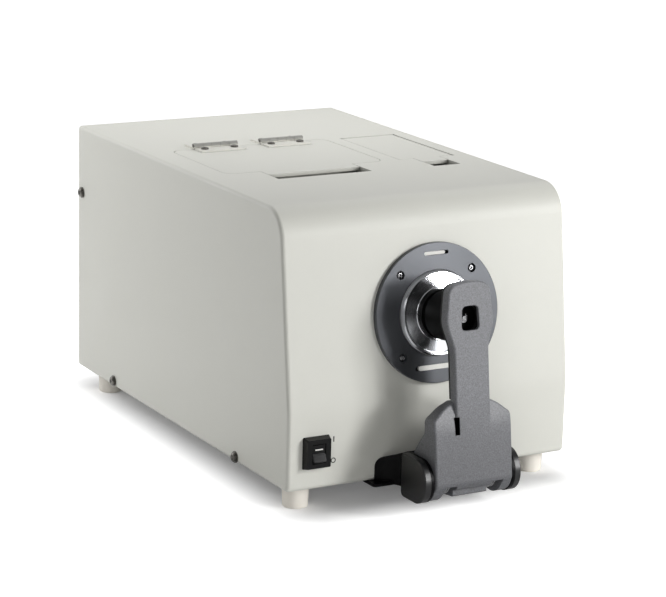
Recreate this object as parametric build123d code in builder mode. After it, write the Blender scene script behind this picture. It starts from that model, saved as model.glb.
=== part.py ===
"""Benchtop colorimeter: a housing with two lids, a specimen port and a sprung specimen holder.

Millimetres. +Z up, the port looks towards -Y, and the origin is the middle of the whole
object's footprint, on the surface that the feet stand on.
"""
from build123d import *
import math
import os

os.makedirs("parts", exist_ok=True)

# ---------------------------------------------------------------------------------------
# Driving dimensions
# ---------------------------------------------------------------------------------------
# housing
width = 244.0
depth = 378.0
height = 208.0
wall = 3.0
foot_height = 17.6
bend_height = 59.4            # upright lower front, above the housing's bottom edge
front_lean = 7.1              # degrees that the upper front leans back
nose_radius = 24.0            # curve from the front into the top
bend_radius = 60.0
bottom_edge_radius = 4.0
side_edge_radius = 3.0
gap = 0.3                     # between pieces that are fitted into each other
eps = 0.01

# lids, in plan: distances are from the housing's front face
lid_front = 150.5
seam = 0.5                    # open line round a lid
lid_clearance = 0.1           # under a closed lid
lid_ledge = 8.0               # seat under a lid's edge
chamber_lid_x = -28.75
chamber_lid_width = 139.5
chamber_lid_back = 250.0
chamber_lid_corner = 9.0
chamber_tab_width = 81.0
chamber_tab_front = 138.5
chamber_well_front = 120.0
selector_lid_x = 80.0
selector_lid_width = 50.0
selector_lid_back = 246.0
selector_lid_corner = 1.5
selector_lid_play = 1.2       # wider gap at the pivoting lid's back and right
selector_tab_width = 23.3
selector_tab_front = 137.0
selector_well_front = 118.5
well_back = 144.0             # finger wells run on under the tabs
well_depth = 9.0
well_wall = 2.0

# compartments under the lids
compartment_wall = 2.0
flange_thickness = 2.0
flange_lap = 4.0              # flange past the lid's edge, under the cover
chamber_depth = 148.0
chamber_front = 165.0
selector_depth = 41.0
seal_width = 4.0
seal_depth = 1.0
lip_depth = 6.0
lip_play = 1.8

# butt hinges of the chamber lid
hinge_spacing = 60.0
hinge_length = 39.0
hinge_leaf = 16.0             # from the barrel to a leaf's free edge
hinge_sheet = 1.2
hinge_barrel_radius = 2.2
hinge_pin_radius = 1.1
hinge_knuckles = 5
hinge_screw_pitch = 26.5
hinge_screw_offset = 8.2
selector_pin_radius = 0.8

# measuring port
port_x = 4.6
port_height = 140.0           # above the surface that the feet stand on
disc_radius = 53.0
disc_thickness = 4.0
disc_bore_play = 0.6          # open ring round the mask
disc_screw_square = 61.8
disc_screw_radius = 1.5
disc_head_radius = 2.3
disc_counterbore_radius = 3.4
disc_counterbore = 2.6
mask_radius = 32.0
mask_height = 8.0
mask_aperture_radius = 12.7
mask_land_radius = 20.0
mask_rim_width = 2.5
mask_flat_length = 17.5

# integrating sphere
sphere_radius = 69.0
sphere_wall = 6.0
sphere_setback = 80.0         # centre behind the front face, along the port's axis
sphere_flange = 7.0
sphere_flange_thickness = 4.0
sphere_port_radius = 15.0
sphere_tube_radius = 22.0

# specimen holder
pivot_out = 38.5              # pivot in front of the housing
pivot_height = 27.5
barrel_radius = 17.8
pivot_pin_radius = 3.0
arm_depth = 7.5               # neck and head, front to back
arm_wall = 3.0
arm_back_thickness = 3.0
arm_edge_radius = 1.6
body_half = 33.2
body_shoulder = 45.2          # corner of the lower body, above the pivot along the arm
body_corner = (23.0, 53.4)
neck_left = 14.3               # the neck's two edges, from the port's axis
neck_right = 15.3
neck_top = 96.5
head_half = 20.6
head_low = 116.0
head_top_half = 17.4
head_shoulder = 143.6
head_rise = 146.0
shoulder_rise = 57.3
shoulder_bend = 34.0          # the front leans back above this
shoulder_drop = 5.0
tongue_half = 14.7
tongue_out = 9.8              # its front, out from the pivot
tongue_low = 14.0             # its underside, below the pivot
boss_width = 8.2
boss_radius = 16.4
spool_radius = 10.6
under_radius = 7.0            # the front wall's curve under the body
under_rise = -2.0
notch_rise = -5.0             # top of the openings on both sides of the tongue
cheek_gap = 0.8
cheek_width = 2.4
cheek_radius = 16.4
cheek_low_drop = 17.0
cap_width = 5.0
cap_edge_radius = 0.6
base_half = 53.0
base_plate_half = 57.4
web_corner_radius = 6.5
web_face_rise = 7.7           # web's top at the housing, above the pivot
pad_radius = 18.8
pad_travel = 5.0
sleeve_radius = 19.0
sleeve_wall = 1.4
stem_radius = 1.8

# switch, lenses, boards and other fittings
switch_setback = 23.4         # from the housing's left side
switch_height = 46.6
switch_width = 22.4
switch_tall = 24.6
switch_proud = 5.5
switch_taper = 1.4
rocker_width = 10.4
rocker_radius = 7.2
rocker_throw = 16.0           # degrees between on and off
running_gap = 0.05            # radial, shaft in bore
bench_half = 34.0
bench_height = 100.0
rail_radius = 3.0
rail_half_spacing = 24.0
lens_radius = 14.0
lens_travel = 20.0
lever_width = 8.0
lever_thickness = 4.0
knob_radius = 7.0
board_thickness = 1.6
spacer_height = 10.0
pan_sheet = 2.0
pan_flange = 13.0
rear_sheet = 2.5
side_head_radius = 3.7
side_screw_radius = 1.5
screw_play = 0.1
foot_inset = 18.2             # from the housing's side
foot_front = 20.6
foot_rear_inset = 26.0        # from the housing's back
board_inner_left = -36.0      # edges of the two boards that face each other
board_inner_right = 56.0
board_side_inset = 10.0
board_front = 165.0
board_back_inset = 8.0
bench_setback = 36.0          # bench's front face, from the housing's back

# ---------------------------------------------------------------------------------------
# Places worked out from the sizes
# ---------------------------------------------------------------------------------------
lean = math.radians(front_lean)
out_y, out_z = -math.cos(lean), math.sin(lean)        # outward normal of the leaning front
up_y, up_z = math.sin(lean), math.cos(lean)           # up along the leaning front
front_y = (pivot_out + barrel_radius - depth) / 2
back_y = front_y + depth
bottom_z = foot_height
top_z = foot_height + height
bend_z = bottom_z + bend_height
under_z = top_z - wall                                # underside of the cover's top
switch_x = switch_setback - width / 2
port_y = front_y + (port_height - bend_z) * math.tan(lean)
pivot_y = front_y - pivot_out
port_plane = Plane(origin=(port_x, port_y, port_height), x_dir=(1, 0, 0), z_dir=(0, out_y, out_z))
switch_plane = Plane(origin=(switch_x, front_y, switch_height), x_dir=(1, 0, 0), z_dir=(0, -1, 0))
# the arm's side view: local x runs up the arm from the pivot, local y points out of its front
arm_side = Plane(origin=(port_x, pivot_y, pivot_height), x_dir=(0, up_y, up_z), z_dir=(1, 0, 0))
arm_face = Plane(
    origin=(port_x, pivot_y + barrel_radius * out_y, pivot_height + barrel_radius * out_z),
    x_dir=(1, 0, 0),
    z_dir=(0, out_y, out_z),
)
# the port's axis, seen from the pivot
port_from_pivot_y = port_y - pivot_y
port_from_pivot_z = port_height - pivot_height
port_rise = port_from_pivot_y * up_y + port_from_pivot_z * up_z
pivot_to_port = -(port_from_pivot_y * out_y + port_from_pivot_z * out_z)
arm_face_out = pivot_to_port + barrel_radius          # arm's front, out from the housing
arm_back_out = arm_face_out - arm_depth - arm_back_thickness
sphere_y = port_y - sphere_setback * out_y
sphere_z = port_height - sphere_setback * out_z
axis_z = port_height                                  # level optical axis
hinge_y = front_y + chamber_lid_back + gap / 2
hinge_xs = [chamber_lid_x - hinge_spacing / 2, chamber_lid_x + hinge_spacing / 2]
lid_thickness = wall - lid_clearance
selector_pin_y = front_y + selector_lid_back - lid_thickness / 2
selector_pin_z = top_z - lid_thickness / 2


def save(part, name):
    """Label a finished piece and write it."""
    part.label = name
    export_step(part, f"parts/{name}.step")


def from_front(distance):
    """Place behind the housing's lower front face."""
    return front_y + distance


# ---------------------------------------------------------------------------------------
# Outlines used by more than one piece
# ---------------------------------------------------------------------------------------
def side_outline(inset, back, floor):
    """Side view of the housing, moved in by inset, running back to back and down to floor."""
    bend = (front_y + inset, bend_z - inset * math.tan(lean / 2))
    nose_rise = top_z - inset - bend_z
    nose = (front_y + inset / math.cos(lean) + nose_rise * math.tan(lean), top_z - inset)
    foot_radius = bottom_edge_radius if inset == 0 else 0
    with BuildSketch(Plane.YZ) as outline:
        with BuildLine():
            FilletPolyline(
                (front_y + inset, floor), bend, nose, (back, top_z - inset), (back, floor),
                radius=[foot_radius, bend_radius, nose_radius - inset, 0, 0],
                close=True,
            )
        make_face()
    return outline.sketch


def lid_outline(x, plate_width, back, corner, tab_width, tab_front, grow):
    """Plan of a lid with its finger tab, larger all round by grow."""
    front_edge = from_front(lid_front) - grow
    back_edge = from_front(back) + grow
    tab_edge = from_front(tab_front) - grow
    tab_root = front_edge + corner + grow
    with BuildSketch() as outline:
        with Locations((x, (front_edge + back_edge) / 2)):
            RectangleRounded(plate_width + 2 * grow, back_edge - front_edge, corner + grow)
        with Locations((x, (tab_edge + tab_root) / 2)):
            Rectangle(tab_width + 2 * grow, tab_root - tab_edge)
    return outline.sketch


def block(x_range, y_range, z_range):
    """Plain box between three pairs of limits, kept out of any builder."""
    size = [high - low for low, high in (x_range, y_range, z_range)]
    centre = [(high + low) / 2 for low, high in (x_range, y_range, z_range)]
    return Pos(*centre) * Box(*size, mode=Mode.PRIVATE)


# ---------------------------------------------------------------------------------------
# Cover: one moulded shell with lid openings, finger wells and the port's hole
# ---------------------------------------------------------------------------------------
outer_outline = side_outline(0, back_y, bottom_z)
inner_outline = side_outline(wall, back_y + wall, bottom_z - wall)
chamber_opening = lid_outline(
    chamber_lid_x, chamber_lid_width, chamber_lid_back, chamber_lid_corner,
    chamber_tab_width, chamber_well_front + seam, seam,
)
selector_left = selector_lid_x - selector_lid_width / 2
selector_right = selector_lid_x + selector_lid_width / 2
selector_mouth_x = (selector_left - seam, selector_right + selector_lid_play)
selector_mouth_y = (from_front(lid_front) - seam, from_front(selector_lid_back) + selector_lid_play)
wells = [
    (chamber_lid_x, chamber_tab_width + 2 * seam, chamber_well_front),
    (selector_lid_x, selector_tab_width + 2 * seam, selector_well_front),
]
# cover screws on each side: distance behind the front, and height
side_screws = [(depth - 7.0, 170.0), (depth - 72.4, 22.7), (83.1, 21.6)]
side_screw_points = [(from_front(distance), z) for distance, z in side_screws]
fixed_screw_points = [
    (x + side * hinge_screw_pitch / 2, hinge_y + hinge_screw_offset)
    for x in hinge_xs for side in (-1, 1)
]
moving_screw_points = [
    (x + side * hinge_screw_pitch / 2, hinge_y - hinge_screw_offset)
    for x in hinge_xs for side in (-1, 1)
]
sphere_hole_radius = sphere_tube_radius + 2.0
cover_screw_hole = 2.1
hinge_screw_hole = 1.5

rear_screw_inset = 8.0
rear_screw_radius = 1.5
rear_boss_half = 5.0
rear_boss_depth = 10.0
rear_screw_x = width / 2 - wall - gap - rear_screw_inset
rear_screw_low = bottom_z + 6.5
rear_screw_high = under_z - gap - 7.0
rear_screw_points = [
    (side * rear_screw_x, z) for side in (-1, 1) for z in (rear_screw_low, rear_screw_high)
]

with BuildPart() as cover:
    extrude(outer_outline, amount=width / 2, both=True)
    side_edges = cover.edges().filter_by(
        lambda edge: abs(abs(edge.center().X) - width / 2) < eps
        and edge.center().Y < back_y - eps
        and edge.center().Z > bottom_z + eps
    )
    fillet(side_edges, side_edge_radius)
    extrude(inner_outline, amount=width / 2 - wall, both=True, mode=Mode.SUBTRACT)
    boss_back = back_y - rear_sheet - gap
    for side in (-1, 1):
        add(block(
            sorted((side * (rear_screw_x - rear_boss_half), side * (width / 2 - wall / 2))),
            (boss_back - rear_boss_depth, boss_back),
            (rear_screw_high - rear_boss_half, top_z - wall / 2),
        ))
    with BuildSketch(Plane.XZ.offset(-back_y)):
        with Locations(*[(side * rear_screw_x, rear_screw_high) for side in (-1, 1)]):
            Circle(rear_screw_radius)
    extrude(amount=rear_boss_depth, mode=Mode.SUBTRACT)
    for well_x, well_width, well_front in wells:
        outer_x = well_width / 2 + well_wall
        add(block(
            (well_x - outer_x, well_x + outer_x),
            (from_front(well_front) - well_wall, from_front(well_back) + well_wall),
            (top_z - well_depth - well_wall, under_z),
        ))
        add(block(
            (well_x - well_width / 2, well_x + well_width / 2),
            (from_front(well_front), from_front(well_back)),
            (top_z - well_depth, top_z + wall),
        ), mode=Mode.SUBTRACT)
    with BuildSketch(Plane.XY.offset(top_z)):
        add(chamber_opening)
        with Locations((sum(selector_mouth_x) / 2, sum(selector_mouth_y) / 2)):
            Rectangle(
                selector_mouth_x[1] - selector_mouth_x[0], selector_mouth_y[1] - selector_mouth_y[0]
            )
        with Locations((selector_lid_x, from_front((selector_well_front + lid_front) / 2))):
            Rectangle(wells[1][1], lid_front - selector_well_front)
    extrude(amount=-wall, mode=Mode.SUBTRACT)
    with BuildSketch(Plane.XY.offset(top_z)):
        with Locations(*fixed_screw_points):
            Circle(hinge_screw_hole)
    extrude(amount=-wall, mode=Mode.SUBTRACT)
    with BuildSketch(port_plane):
        Circle(sphere_hole_radius)
        with GridLocations(disc_screw_square, disc_screw_square, 2, 2):
            Circle(disc_screw_radius + screw_play)
    extrude(amount=-2 * wall, mode=Mode.SUBTRACT)
    with BuildSketch(switch_plane):
        Rectangle(switch_width - 4.0, switch_tall - 4.0)
    extrude(amount=-2 * wall, mode=Mode.SUBTRACT)
    with BuildSketch(Plane.YZ):
        with Locations(*side_screw_points):
            Circle(cover_screw_hole)
    extrude(amount=width, both=True, mode=Mode.SUBTRACT)
    with BuildSketch(Plane.YZ.offset(selector_mouth_x[0] - wall)):
        with Locations((selector_pin_y, selector_pin_z)):
            Circle(selector_pin_radius + running_gap)
    extrude(
        amount=selector_mouth_x[1] - selector_mouth_x[0] + 2 * wall, mode=Mode.SUBTRACT
    )
save(cover.part, "cover_shell")

# ---------------------------------------------------------------------------------------
# Base pan, feet and rear panel
# ---------------------------------------------------------------------------------------
pan_half = width / 2 - wall - gap
pan_front = front_y + wall + gap
pan_back = back_y - rear_sheet
floor_z = bottom_z + pan_sheet
foot_x = width / 2 - foot_inset
foot_ys = [from_front(foot_front), from_front(depth - foot_rear_inset)]
foot_points = [(side * foot_x, y) for side in (-1, 1) for y in foot_ys]
foot_top_radius = 10.35
foot_bottom_radius = 9.7
foot_screw_radius = 2.0
foot_recess_radius = 4.8
foot_recess = 9.0
base_screw_points = [
    (port_x + side * 45.0, from_front(distance)) for side in (-1, 1) for distance in (17.0, 36.0)
]
base_screw_radius = 2.0

with BuildPart() as pan:
    add(block((-pan_half, pan_half), (pan_front, pan_back), (bottom_z, bottom_z + pan_flange)))
    add(block(
        (-pan_half + pan_sheet, pan_half - pan_sheet),
        (pan_front + pan_sheet, pan_back - pan_sheet),
        (floor_z, bottom_z + pan_flange + 1),
    ), mode=Mode.SUBTRACT)
    with BuildSketch(Plane.XY.offset(bottom_z)):
        with Locations(*foot_points):
            Circle(foot_screw_radius + 0.2)
        with Locations(*base_screw_points):
            Circle(base_screw_radius + 0.2)
    extrude(amount=pan_sheet, mode=Mode.SUBTRACT)
    with BuildSketch(Plane.YZ):
        with Locations(*side_screw_points[1:]):
            Circle(side_screw_radius + screw_play)
    extrude(amount=width, both=True, mode=Mode.SUBTRACT)
    with BuildSketch(Plane.XZ.offset(-back_y)):
        with Locations(*[(side * rear_screw_x, rear_screw_low) for side in (-1, 1)]):
            Circle(rear_screw_radius)
    extrude(amount=rear_sheet + 2 * pan_sheet, mode=Mode.SUBTRACT)
save(pan.part, "base_plate")

with BuildPart() as feet:
    for foot_point in foot_points:
        with BuildSketch(Plane.XY):
            with Locations(foot_point):
                Circle(foot_bottom_radius)
        with BuildSketch(Plane.XY.offset(foot_height)):
            with Locations(foot_point):
                Circle(foot_top_radius)
        loft()
    fillet(feet.edges().filter_by(GeomType.CIRCLE).group_by(Axis.Z)[0], 1.0)
    with BuildSketch(Plane.XY):
        with Locations(*foot_points):
            Circle(foot_recess_radius)
    extrude(amount=foot_recess, mode=Mode.SUBTRACT)
    with BuildSketch(Plane.XY.offset(foot_height)):
        with Locations(*foot_points):
            Circle(foot_screw_radius + 0.2)
    extrude(amount=-foot_height, mode=Mode.SUBTRACT)
save(feet.part, "feet")

# ---------------------------------------------------------------------------------------
# Rear panel: closes the back inside the cover's edge
# ---------------------------------------------------------------------------------------
panel_half = width / 2 - wall - gap
panel_top = top_z - wall - gap
panel_front = back_y - rear_sheet
panel_flange = 14.0
rear_head_radius = 3.0
board_top = bottom_z + pan_sheet + spacer_height + board_thickness
inlet_body = 7.0
inlet_x = 34.0 - width / 2
inlet_z = board_top + inlet_body
inlet_radius = 5.5
socket_width, socket_tall = 12.4, 11.4
socket_x = 66.0 - width / 2
socket_z = board_top + socket_tall / 2 - gap
vent_count = 9
vent_pitch = 7.0
vent_length = 50.0
vent_width = 3.0
vent_x, vent_z = 40.0, 150.0

with BuildPart() as rear:
    add(block((-panel_half, panel_half), (panel_front, back_y), (bottom_z, panel_top)))
    for side in (-1, 1):
        inner = side * (panel_half - rear_sheet)
        add(block(
            sorted((side * panel_half, inner)), (panel_front - panel_flange, panel_front),
            (bottom_z + pan_flange + gap, panel_top - nose_radius / 2),
        ))
    with BuildSketch(Plane.XZ.offset(-back_y)):
        with Locations((inlet_x, inlet_z)):
            Circle(inlet_radius)
        with Locations((socket_x, socket_z)):
            Rectangle(socket_width, socket_tall)
        with Locations((vent_x, vent_z)):
            with GridLocations(0, vent_pitch, 1, vent_count):
                SlotOverall(vent_length, vent_width)
        with Locations(*rear_screw_points):
            Circle(rear_screw_radius + 0.1)
    extrude(amount=rear_sheet, mode=Mode.SUBTRACT)
    with BuildSketch(Plane.YZ):
        with Locations(side_screw_points[0]):
            Circle(side_screw_radius + screw_play)
    extrude(amount=width, both=True, mode=Mode.SUBTRACT)
save(rear.part, "rear_panel")

# ---------------------------------------------------------------------------------------
# Screws of the cover, feet, bracket and rear panel
# ---------------------------------------------------------------------------------------
washer_thickness = 0.8
washer_radius = 4.6
screw_head_height = 2.2


def side_locations(offset):
    """Planes looking outwards at the cover screws on both sides, offset outwards."""
    planes = []
    for side in (-1, 1):
        for y, z in side_screw_points:
            planes.append(Plane(
                origin=(side * (width / 2 + offset), y, z), x_dir=(0, 1, 0), z_dir=(side, 0, 0)
            ))
    return planes


with BuildPart() as washers:
    for plane in side_locations(0):
        with BuildSketch(plane):
            Circle(washer_radius)
            Circle(cover_screw_hole, mode=Mode.SUBTRACT)
        extrude(amount=washer_thickness)
save(washers.part, "cover_washers")

side_screw_length = wall + washer_thickness + pan_sheet + 3.0
with BuildPart() as side_screw_set:
    for plane in side_locations(washer_thickness):
        with BuildSketch(plane):
            Circle(side_head_radius)
        extrude(amount=screw_head_height)
        with BuildSketch(plane):
            Circle(side_screw_radius)
        extrude(amount=-side_screw_length)
    fillet(
        side_screw_set.edges().filter_by(GeomType.CIRCLE).filter_by(
            lambda edge: abs(
                abs(edge.center().X) - width / 2 - washer_thickness - screw_head_height
            ) < eps
        ),
        1.2,
    )
save(side_screw_set.part, "cover_screws")

with BuildPart() as foot_screw_set:
    with BuildSketch(Plane.XY.offset(foot_recess)):
        with Locations(*foot_points):
            Circle(foot_recess_radius - 0.8)
    extrude(amount=-screw_head_height)
    with BuildSketch(Plane.XY.offset(foot_recess)):
        with Locations(*foot_points):
            Circle(foot_screw_radius)
    extrude(amount=foot_height - foot_recess + pan_sheet + 3.0)
save(foot_screw_set.part, "foot_screws")

with BuildPart() as rear_screw_set:
    with BuildSketch(Plane.XZ.offset(-back_y)):
        with Locations(*rear_screw_points):
            Circle(rear_screw_radius)
    extrude(amount=9.0)
save(rear_screw_set.part, "rear_screws")

# ---------------------------------------------------------------------------------------
# Transmission chamber and selector compartment: open boxes hung under the cover's top
# ---------------------------------------------------------------------------------------
chamber_left = chamber_lid_x - chamber_lid_width / 2
chamber_right = chamber_lid_x + chamber_lid_width / 2
chamber_inner_x = (chamber_left + 6.5, chamber_right - 6.0)
chamber_inner_y = (from_front(chamber_front), from_front(chamber_lid_back) - 7.0)
chamber_floor = top_z - wall - chamber_depth
well_clear = from_front(well_back) + well_wall + gap
flange_z = under_z - flange_thickness
chamber_flange_y = (well_clear, from_front(chamber_lid_back) + flange_lap)
selector_inner_half = 20.0
selector_inner_x = (selector_lid_x - selector_inner_half, selector_lid_x + selector_inner_half)
selector_inner_y = (from_front(156.0), from_front(selector_lid_back) - lid_ledge)
selector_floor = top_z - wall - selector_depth
window_width = 46.0
window_tall = 46.0


def hung_box(inner_x, inner_y, floor, flange_x, flange_y):
    """Open box with a flange round its mouth, against the underside of the cover."""
    outer = compartment_wall
    with BuildPart() as box:
        add(block(
            (inner_x[0] - outer, inner_x[1] + outer), (inner_y[0] - outer, inner_y[1] + outer),
            (floor - outer, under_z),
        ))
        add(block(flange_x, flange_y, (flange_z, under_z)))
        add(block(inner_x, inner_y, (floor, under_z + 1)), mode=Mode.SUBTRACT)
    return box.part


def mouth_ring(inner_grow, outer_grow, z_range):
    """Rectangular ring round the chamber's mouth, its edges moved out from the mouth."""
    (left, right), (near, far) = chamber_inner_x, chamber_inner_y
    with BuildPart() as ring:
        add(block(
            (left - outer_grow, right + outer_grow), (near - outer_grow, far + outer_grow), z_range
        ))
        add(block(
            (left - inner_grow, right + inner_grow), (near - inner_grow, far + inner_grow),
            (z_range[0] - 1, z_range[1] + 1),
        ), mode=Mode.SUBTRACT)
    return ring.part


seal_inset = 1.2
seal_side_gap = 0.1

with BuildPart() as chamber:
    add(hung_box(
        chamber_inner_x, chamber_inner_y, chamber_floor,
        (chamber_left - flange_lap, chamber_right + flange_lap), chamber_flange_y,
    ))
    add(mouth_ring(
        seal_inset - seal_side_gap, seal_inset + seal_width + seal_side_gap,
        (under_z - seal_depth, under_z + seal_depth),
    ), mode=Mode.SUBTRACT)
    with BuildSketch(Plane.XZ):
        with Locations((port_x, axis_z)):
            Rectangle(window_width, window_tall)
    extrude(amount=depth, both=True, mode=Mode.SUBTRACT)
    with BuildSketch(Plane.XY.offset(under_z)):
        with Locations(*fixed_screw_points):
            Circle(hinge_screw_hole)
    extrude(amount=-flange_thickness, mode=Mode.SUBTRACT)
save(chamber.part, "transmission_chamber")
save(
    mouth_ring(seal_inset, seal_inset + seal_width, (under_z - seal_depth, under_z)), "lid_seal"
)

# the knob's lever passes between the chamber and the selector compartment
lever_x = (chamber_inner_x[1] + selector_inner_x[0]) / 2
lever_z = axis_z + 49.0
lever_half = lever_thickness / 2
lever_front = from_front(184.0)
lever_slot_y = (lever_front - 2 * running_gap - 1.0, lever_front + lever_width + lens_travel + 2.0)
selector_flange_x = (selector_left - flange_lap, selector_right + flange_lap + 1.0)
selector_flange_y = (well_clear, from_front(selector_lid_back) + flange_lap)

with BuildPart() as compartment:
    add(hung_box(
        selector_inner_x, selector_inner_y, selector_floor, selector_flange_x, selector_flange_y
    ))
    add(block(
        (selector_inner_x[0] - compartment_wall - 1, selector_inner_x[0] + 1), lever_slot_y,
        (lever_z - lever_half - 1.0, lever_z + lever_half + 1.0),
    ), mode=Mode.SUBTRACT)
save(compartment.part, "selector_well")

# ---------------------------------------------------------------------------------------
# Lids and hinges
# ---------------------------------------------------------------------------------------
lid_bottom = top_z - lid_thickness
hinge_axis_z = top_z + hinge_barrel_radius + 0.15
leaf_z = top_z
knuckle_gap = 0.25
knuckle_length = (hinge_length - (hinge_knuckles - 1) * knuckle_gap) / hinge_knuckles
lip_wall = 2.0

with BuildPart() as lid:
    with BuildSketch(Plane.XY.offset(lid_bottom)):
        add(lid_outline(
            chamber_lid_x, chamber_lid_width, chamber_lid_back, chamber_lid_corner,
            chamber_tab_width, chamber_tab_front, 0,
        ))
    extrude(amount=lid_thickness)
    lip_z = (lid_bottom - lip_depth, lid_bottom)
    add(mouth_ring(-lip_play - lip_wall, -lip_play, lip_z))
    with BuildSketch(Plane.XY.offset(top_z)):
        with Locations(*moving_screw_points):
            Circle(hinge_screw_hole)
    extrude(amount=-lid_thickness, mode=Mode.SUBTRACT)
    rim = lid.faces().sort_by(Axis.Z)[-1].outer_wire().edges()
    chamfer(rim.filter_by(lambda edge: edge.center().Y < hinge_y - 1.0), 0.3)
save(lid.part, "chamber_lid")

with BuildPart() as small_lid:
    with BuildSketch(Plane.XY.offset(lid_bottom)):
        add(lid_outline(
            selector_lid_x, selector_lid_width, selector_lid_back, selector_lid_corner,
            selector_tab_width, selector_tab_front, 0,
        ))
    extrude(amount=lid_thickness)
    back_face_y = from_front(selector_lid_back)
    back_edges = small_lid.edges().filter_by(Axis.X).filter_by(
        lambda edge: abs(edge.center().Y - back_face_y) < eps
    )
    fillet(back_edges, lid_thickness / 2 - eps)
    with BuildSketch(Plane.YZ.offset(selector_left - 1)):
        with Locations((selector_pin_y, selector_pin_z)):
            Circle(selector_pin_radius + running_gap)
    extrude(amount=selector_lid_width + 2, mode=Mode.SUBTRACT)
save(small_lid.part, "selector_lid")

with BuildPart() as lid_pins:
    pin_run = 8.0
    for start, length in (
        (selector_mouth_x[0] - wall, pin_run), (selector_mouth_x[1] + wall, -pin_run)
    ):
        with BuildSketch(Plane.YZ.offset(start)):
            with Locations((selector_pin_y, selector_pin_z)):
                Circle(selector_pin_radius)
        extrude(amount=length)
save(lid_pins.part, "selector_lid_pins")


def hinge_leaves(side, knuckles):
    """Leaves on one side of both hinges, with the knuckles of the given numbers."""
    with BuildPart() as leaves:
        for hinge_x in hinge_xs:
            left = hinge_x - hinge_length / 2
            near = hinge_y + side * (hinge_barrel_radius + knuckle_gap)
            far = hinge_y + side * (hinge_barrel_radius + hinge_leaf - 2.0)
            with BuildSketch(Plane.XY.offset(leaf_z)):
                with Locations((hinge_x, (near + far) / 2)):
                    Rectangle(hinge_length, abs(far - near))
            extrude(amount=hinge_sheet)
            for number in knuckles:
                start = left + number * (knuckle_length + knuckle_gap)
                add(block(
                    (start, start + knuckle_length), sorted((hinge_y, near + side)),
                    (leaf_z, leaf_z + hinge_sheet),
                ))
                with BuildSketch(Plane.YZ.offset(start)):
                    with Locations((hinge_y, hinge_axis_z)):
                        Circle(hinge_barrel_radius)
                extrude(amount=knuckle_length)
            with BuildSketch(Plane.YZ.offset(left)):
                with Locations((hinge_y, hinge_axis_z)):
                    Circle(hinge_pin_radius + running_gap)
            extrude(amount=hinge_length, mode=Mode.SUBTRACT)
        points = fixed_screw_points if side > 0 else moving_screw_points
        with BuildSketch(Plane.XY.offset(leaf_z)):
            with Locations(*points):
                Circle(hinge_screw_hole)
        extrude(amount=hinge_sheet, mode=Mode.SUBTRACT)
    return leaves.part


save(hinge_leaves(1, range(0, hinge_knuckles, 2)), "hinge_leaves_fixed")
save(hinge_leaves(-1, range(1, hinge_knuckles, 2)), "hinge_leaves_moving")

with BuildPart() as pins:
    for hinge_x in hinge_xs:
        with BuildSketch(Plane.YZ.offset(hinge_x - hinge_length / 2 - 0.3)):
            with Locations((hinge_y, hinge_axis_z)):
                Circle(hinge_pin_radius)
        extrude(amount=hinge_length + 0.6)
save(pins.part, "hinge_pins")

hinge_head_radius = 3.1
hinge_head_height = 1.5


def hinge_screws(points):
    """Pan-head screws through a hinge leaf and what it lies on."""
    with BuildPart() as screws:
        with BuildSketch(Plane.XY.offset(leaf_z + hinge_sheet)):
            with Locations(*points):
                Circle(hinge_head_radius)
        extrude(amount=hinge_head_height)
        fillet(screws.edges().group_by(Axis.Z)[-1], 0.9)
        with BuildSketch(Plane.XY.offset(leaf_z + hinge_sheet)):
            with Locations(*points):
                Circle(hinge_screw_hole - 0.1)
        extrude(amount=-hinge_sheet - lid_thickness)
    return screws.part


save(hinge_screws(fixed_screw_points), "hinge_screws_fixed")
save(hinge_screws(moving_screw_points), "hinge_screws_moving")

# ---------------------------------------------------------------------------------------
# Measuring port: disc on the leaning face, and the plated target mask
# ---------------------------------------------------------------------------------------
disc_bore_radius = mask_radius + disc_bore_play
disc_edge_radius = 0.6
disc_head_height = 1.8
disc_head_edge = 0.8
disc_socket_radius = 1.2
disc_socket_depth = 1.2
# slots right through the disc: across, up, length and width
disc_slots = [(0.4, 45.0, 21.0, 2.8), (-0.2, -40.5, 41.0, 4.0)]

with BuildPart() as disc:
    with BuildSketch(port_plane):
        Circle(disc_radius)
        Circle(disc_bore_radius, mode=Mode.SUBTRACT)
    extrude(amount=disc_thickness)
    fillet(disc.edges().filter_by(
        lambda edge: edge.geom_type == GeomType.CIRCLE
        and abs(edge.radius - disc_radius) < eps
        and port_plane.to_local_coords(edge.center()).Z > disc_thickness / 2
    ), disc_edge_radius)
    with BuildSketch(port_plane.offset(disc_thickness)):
        with GridLocations(disc_screw_square, disc_screw_square, 2, 2):
            Circle(disc_counterbore_radius)
    extrude(amount=-disc_counterbore, mode=Mode.SUBTRACT)
    with BuildSketch(port_plane):
        with GridLocations(disc_screw_square, disc_screw_square, 2, 2):
            Circle(disc_screw_radius + screw_play)
        for across, rise, slot_length, slot_width in disc_slots:
            with Locations((across, rise)):
                SlotOverall(slot_length, slot_width)
    extrude(amount=disc_thickness, mode=Mode.SUBTRACT)
save(disc.part, "port_disc")

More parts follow.
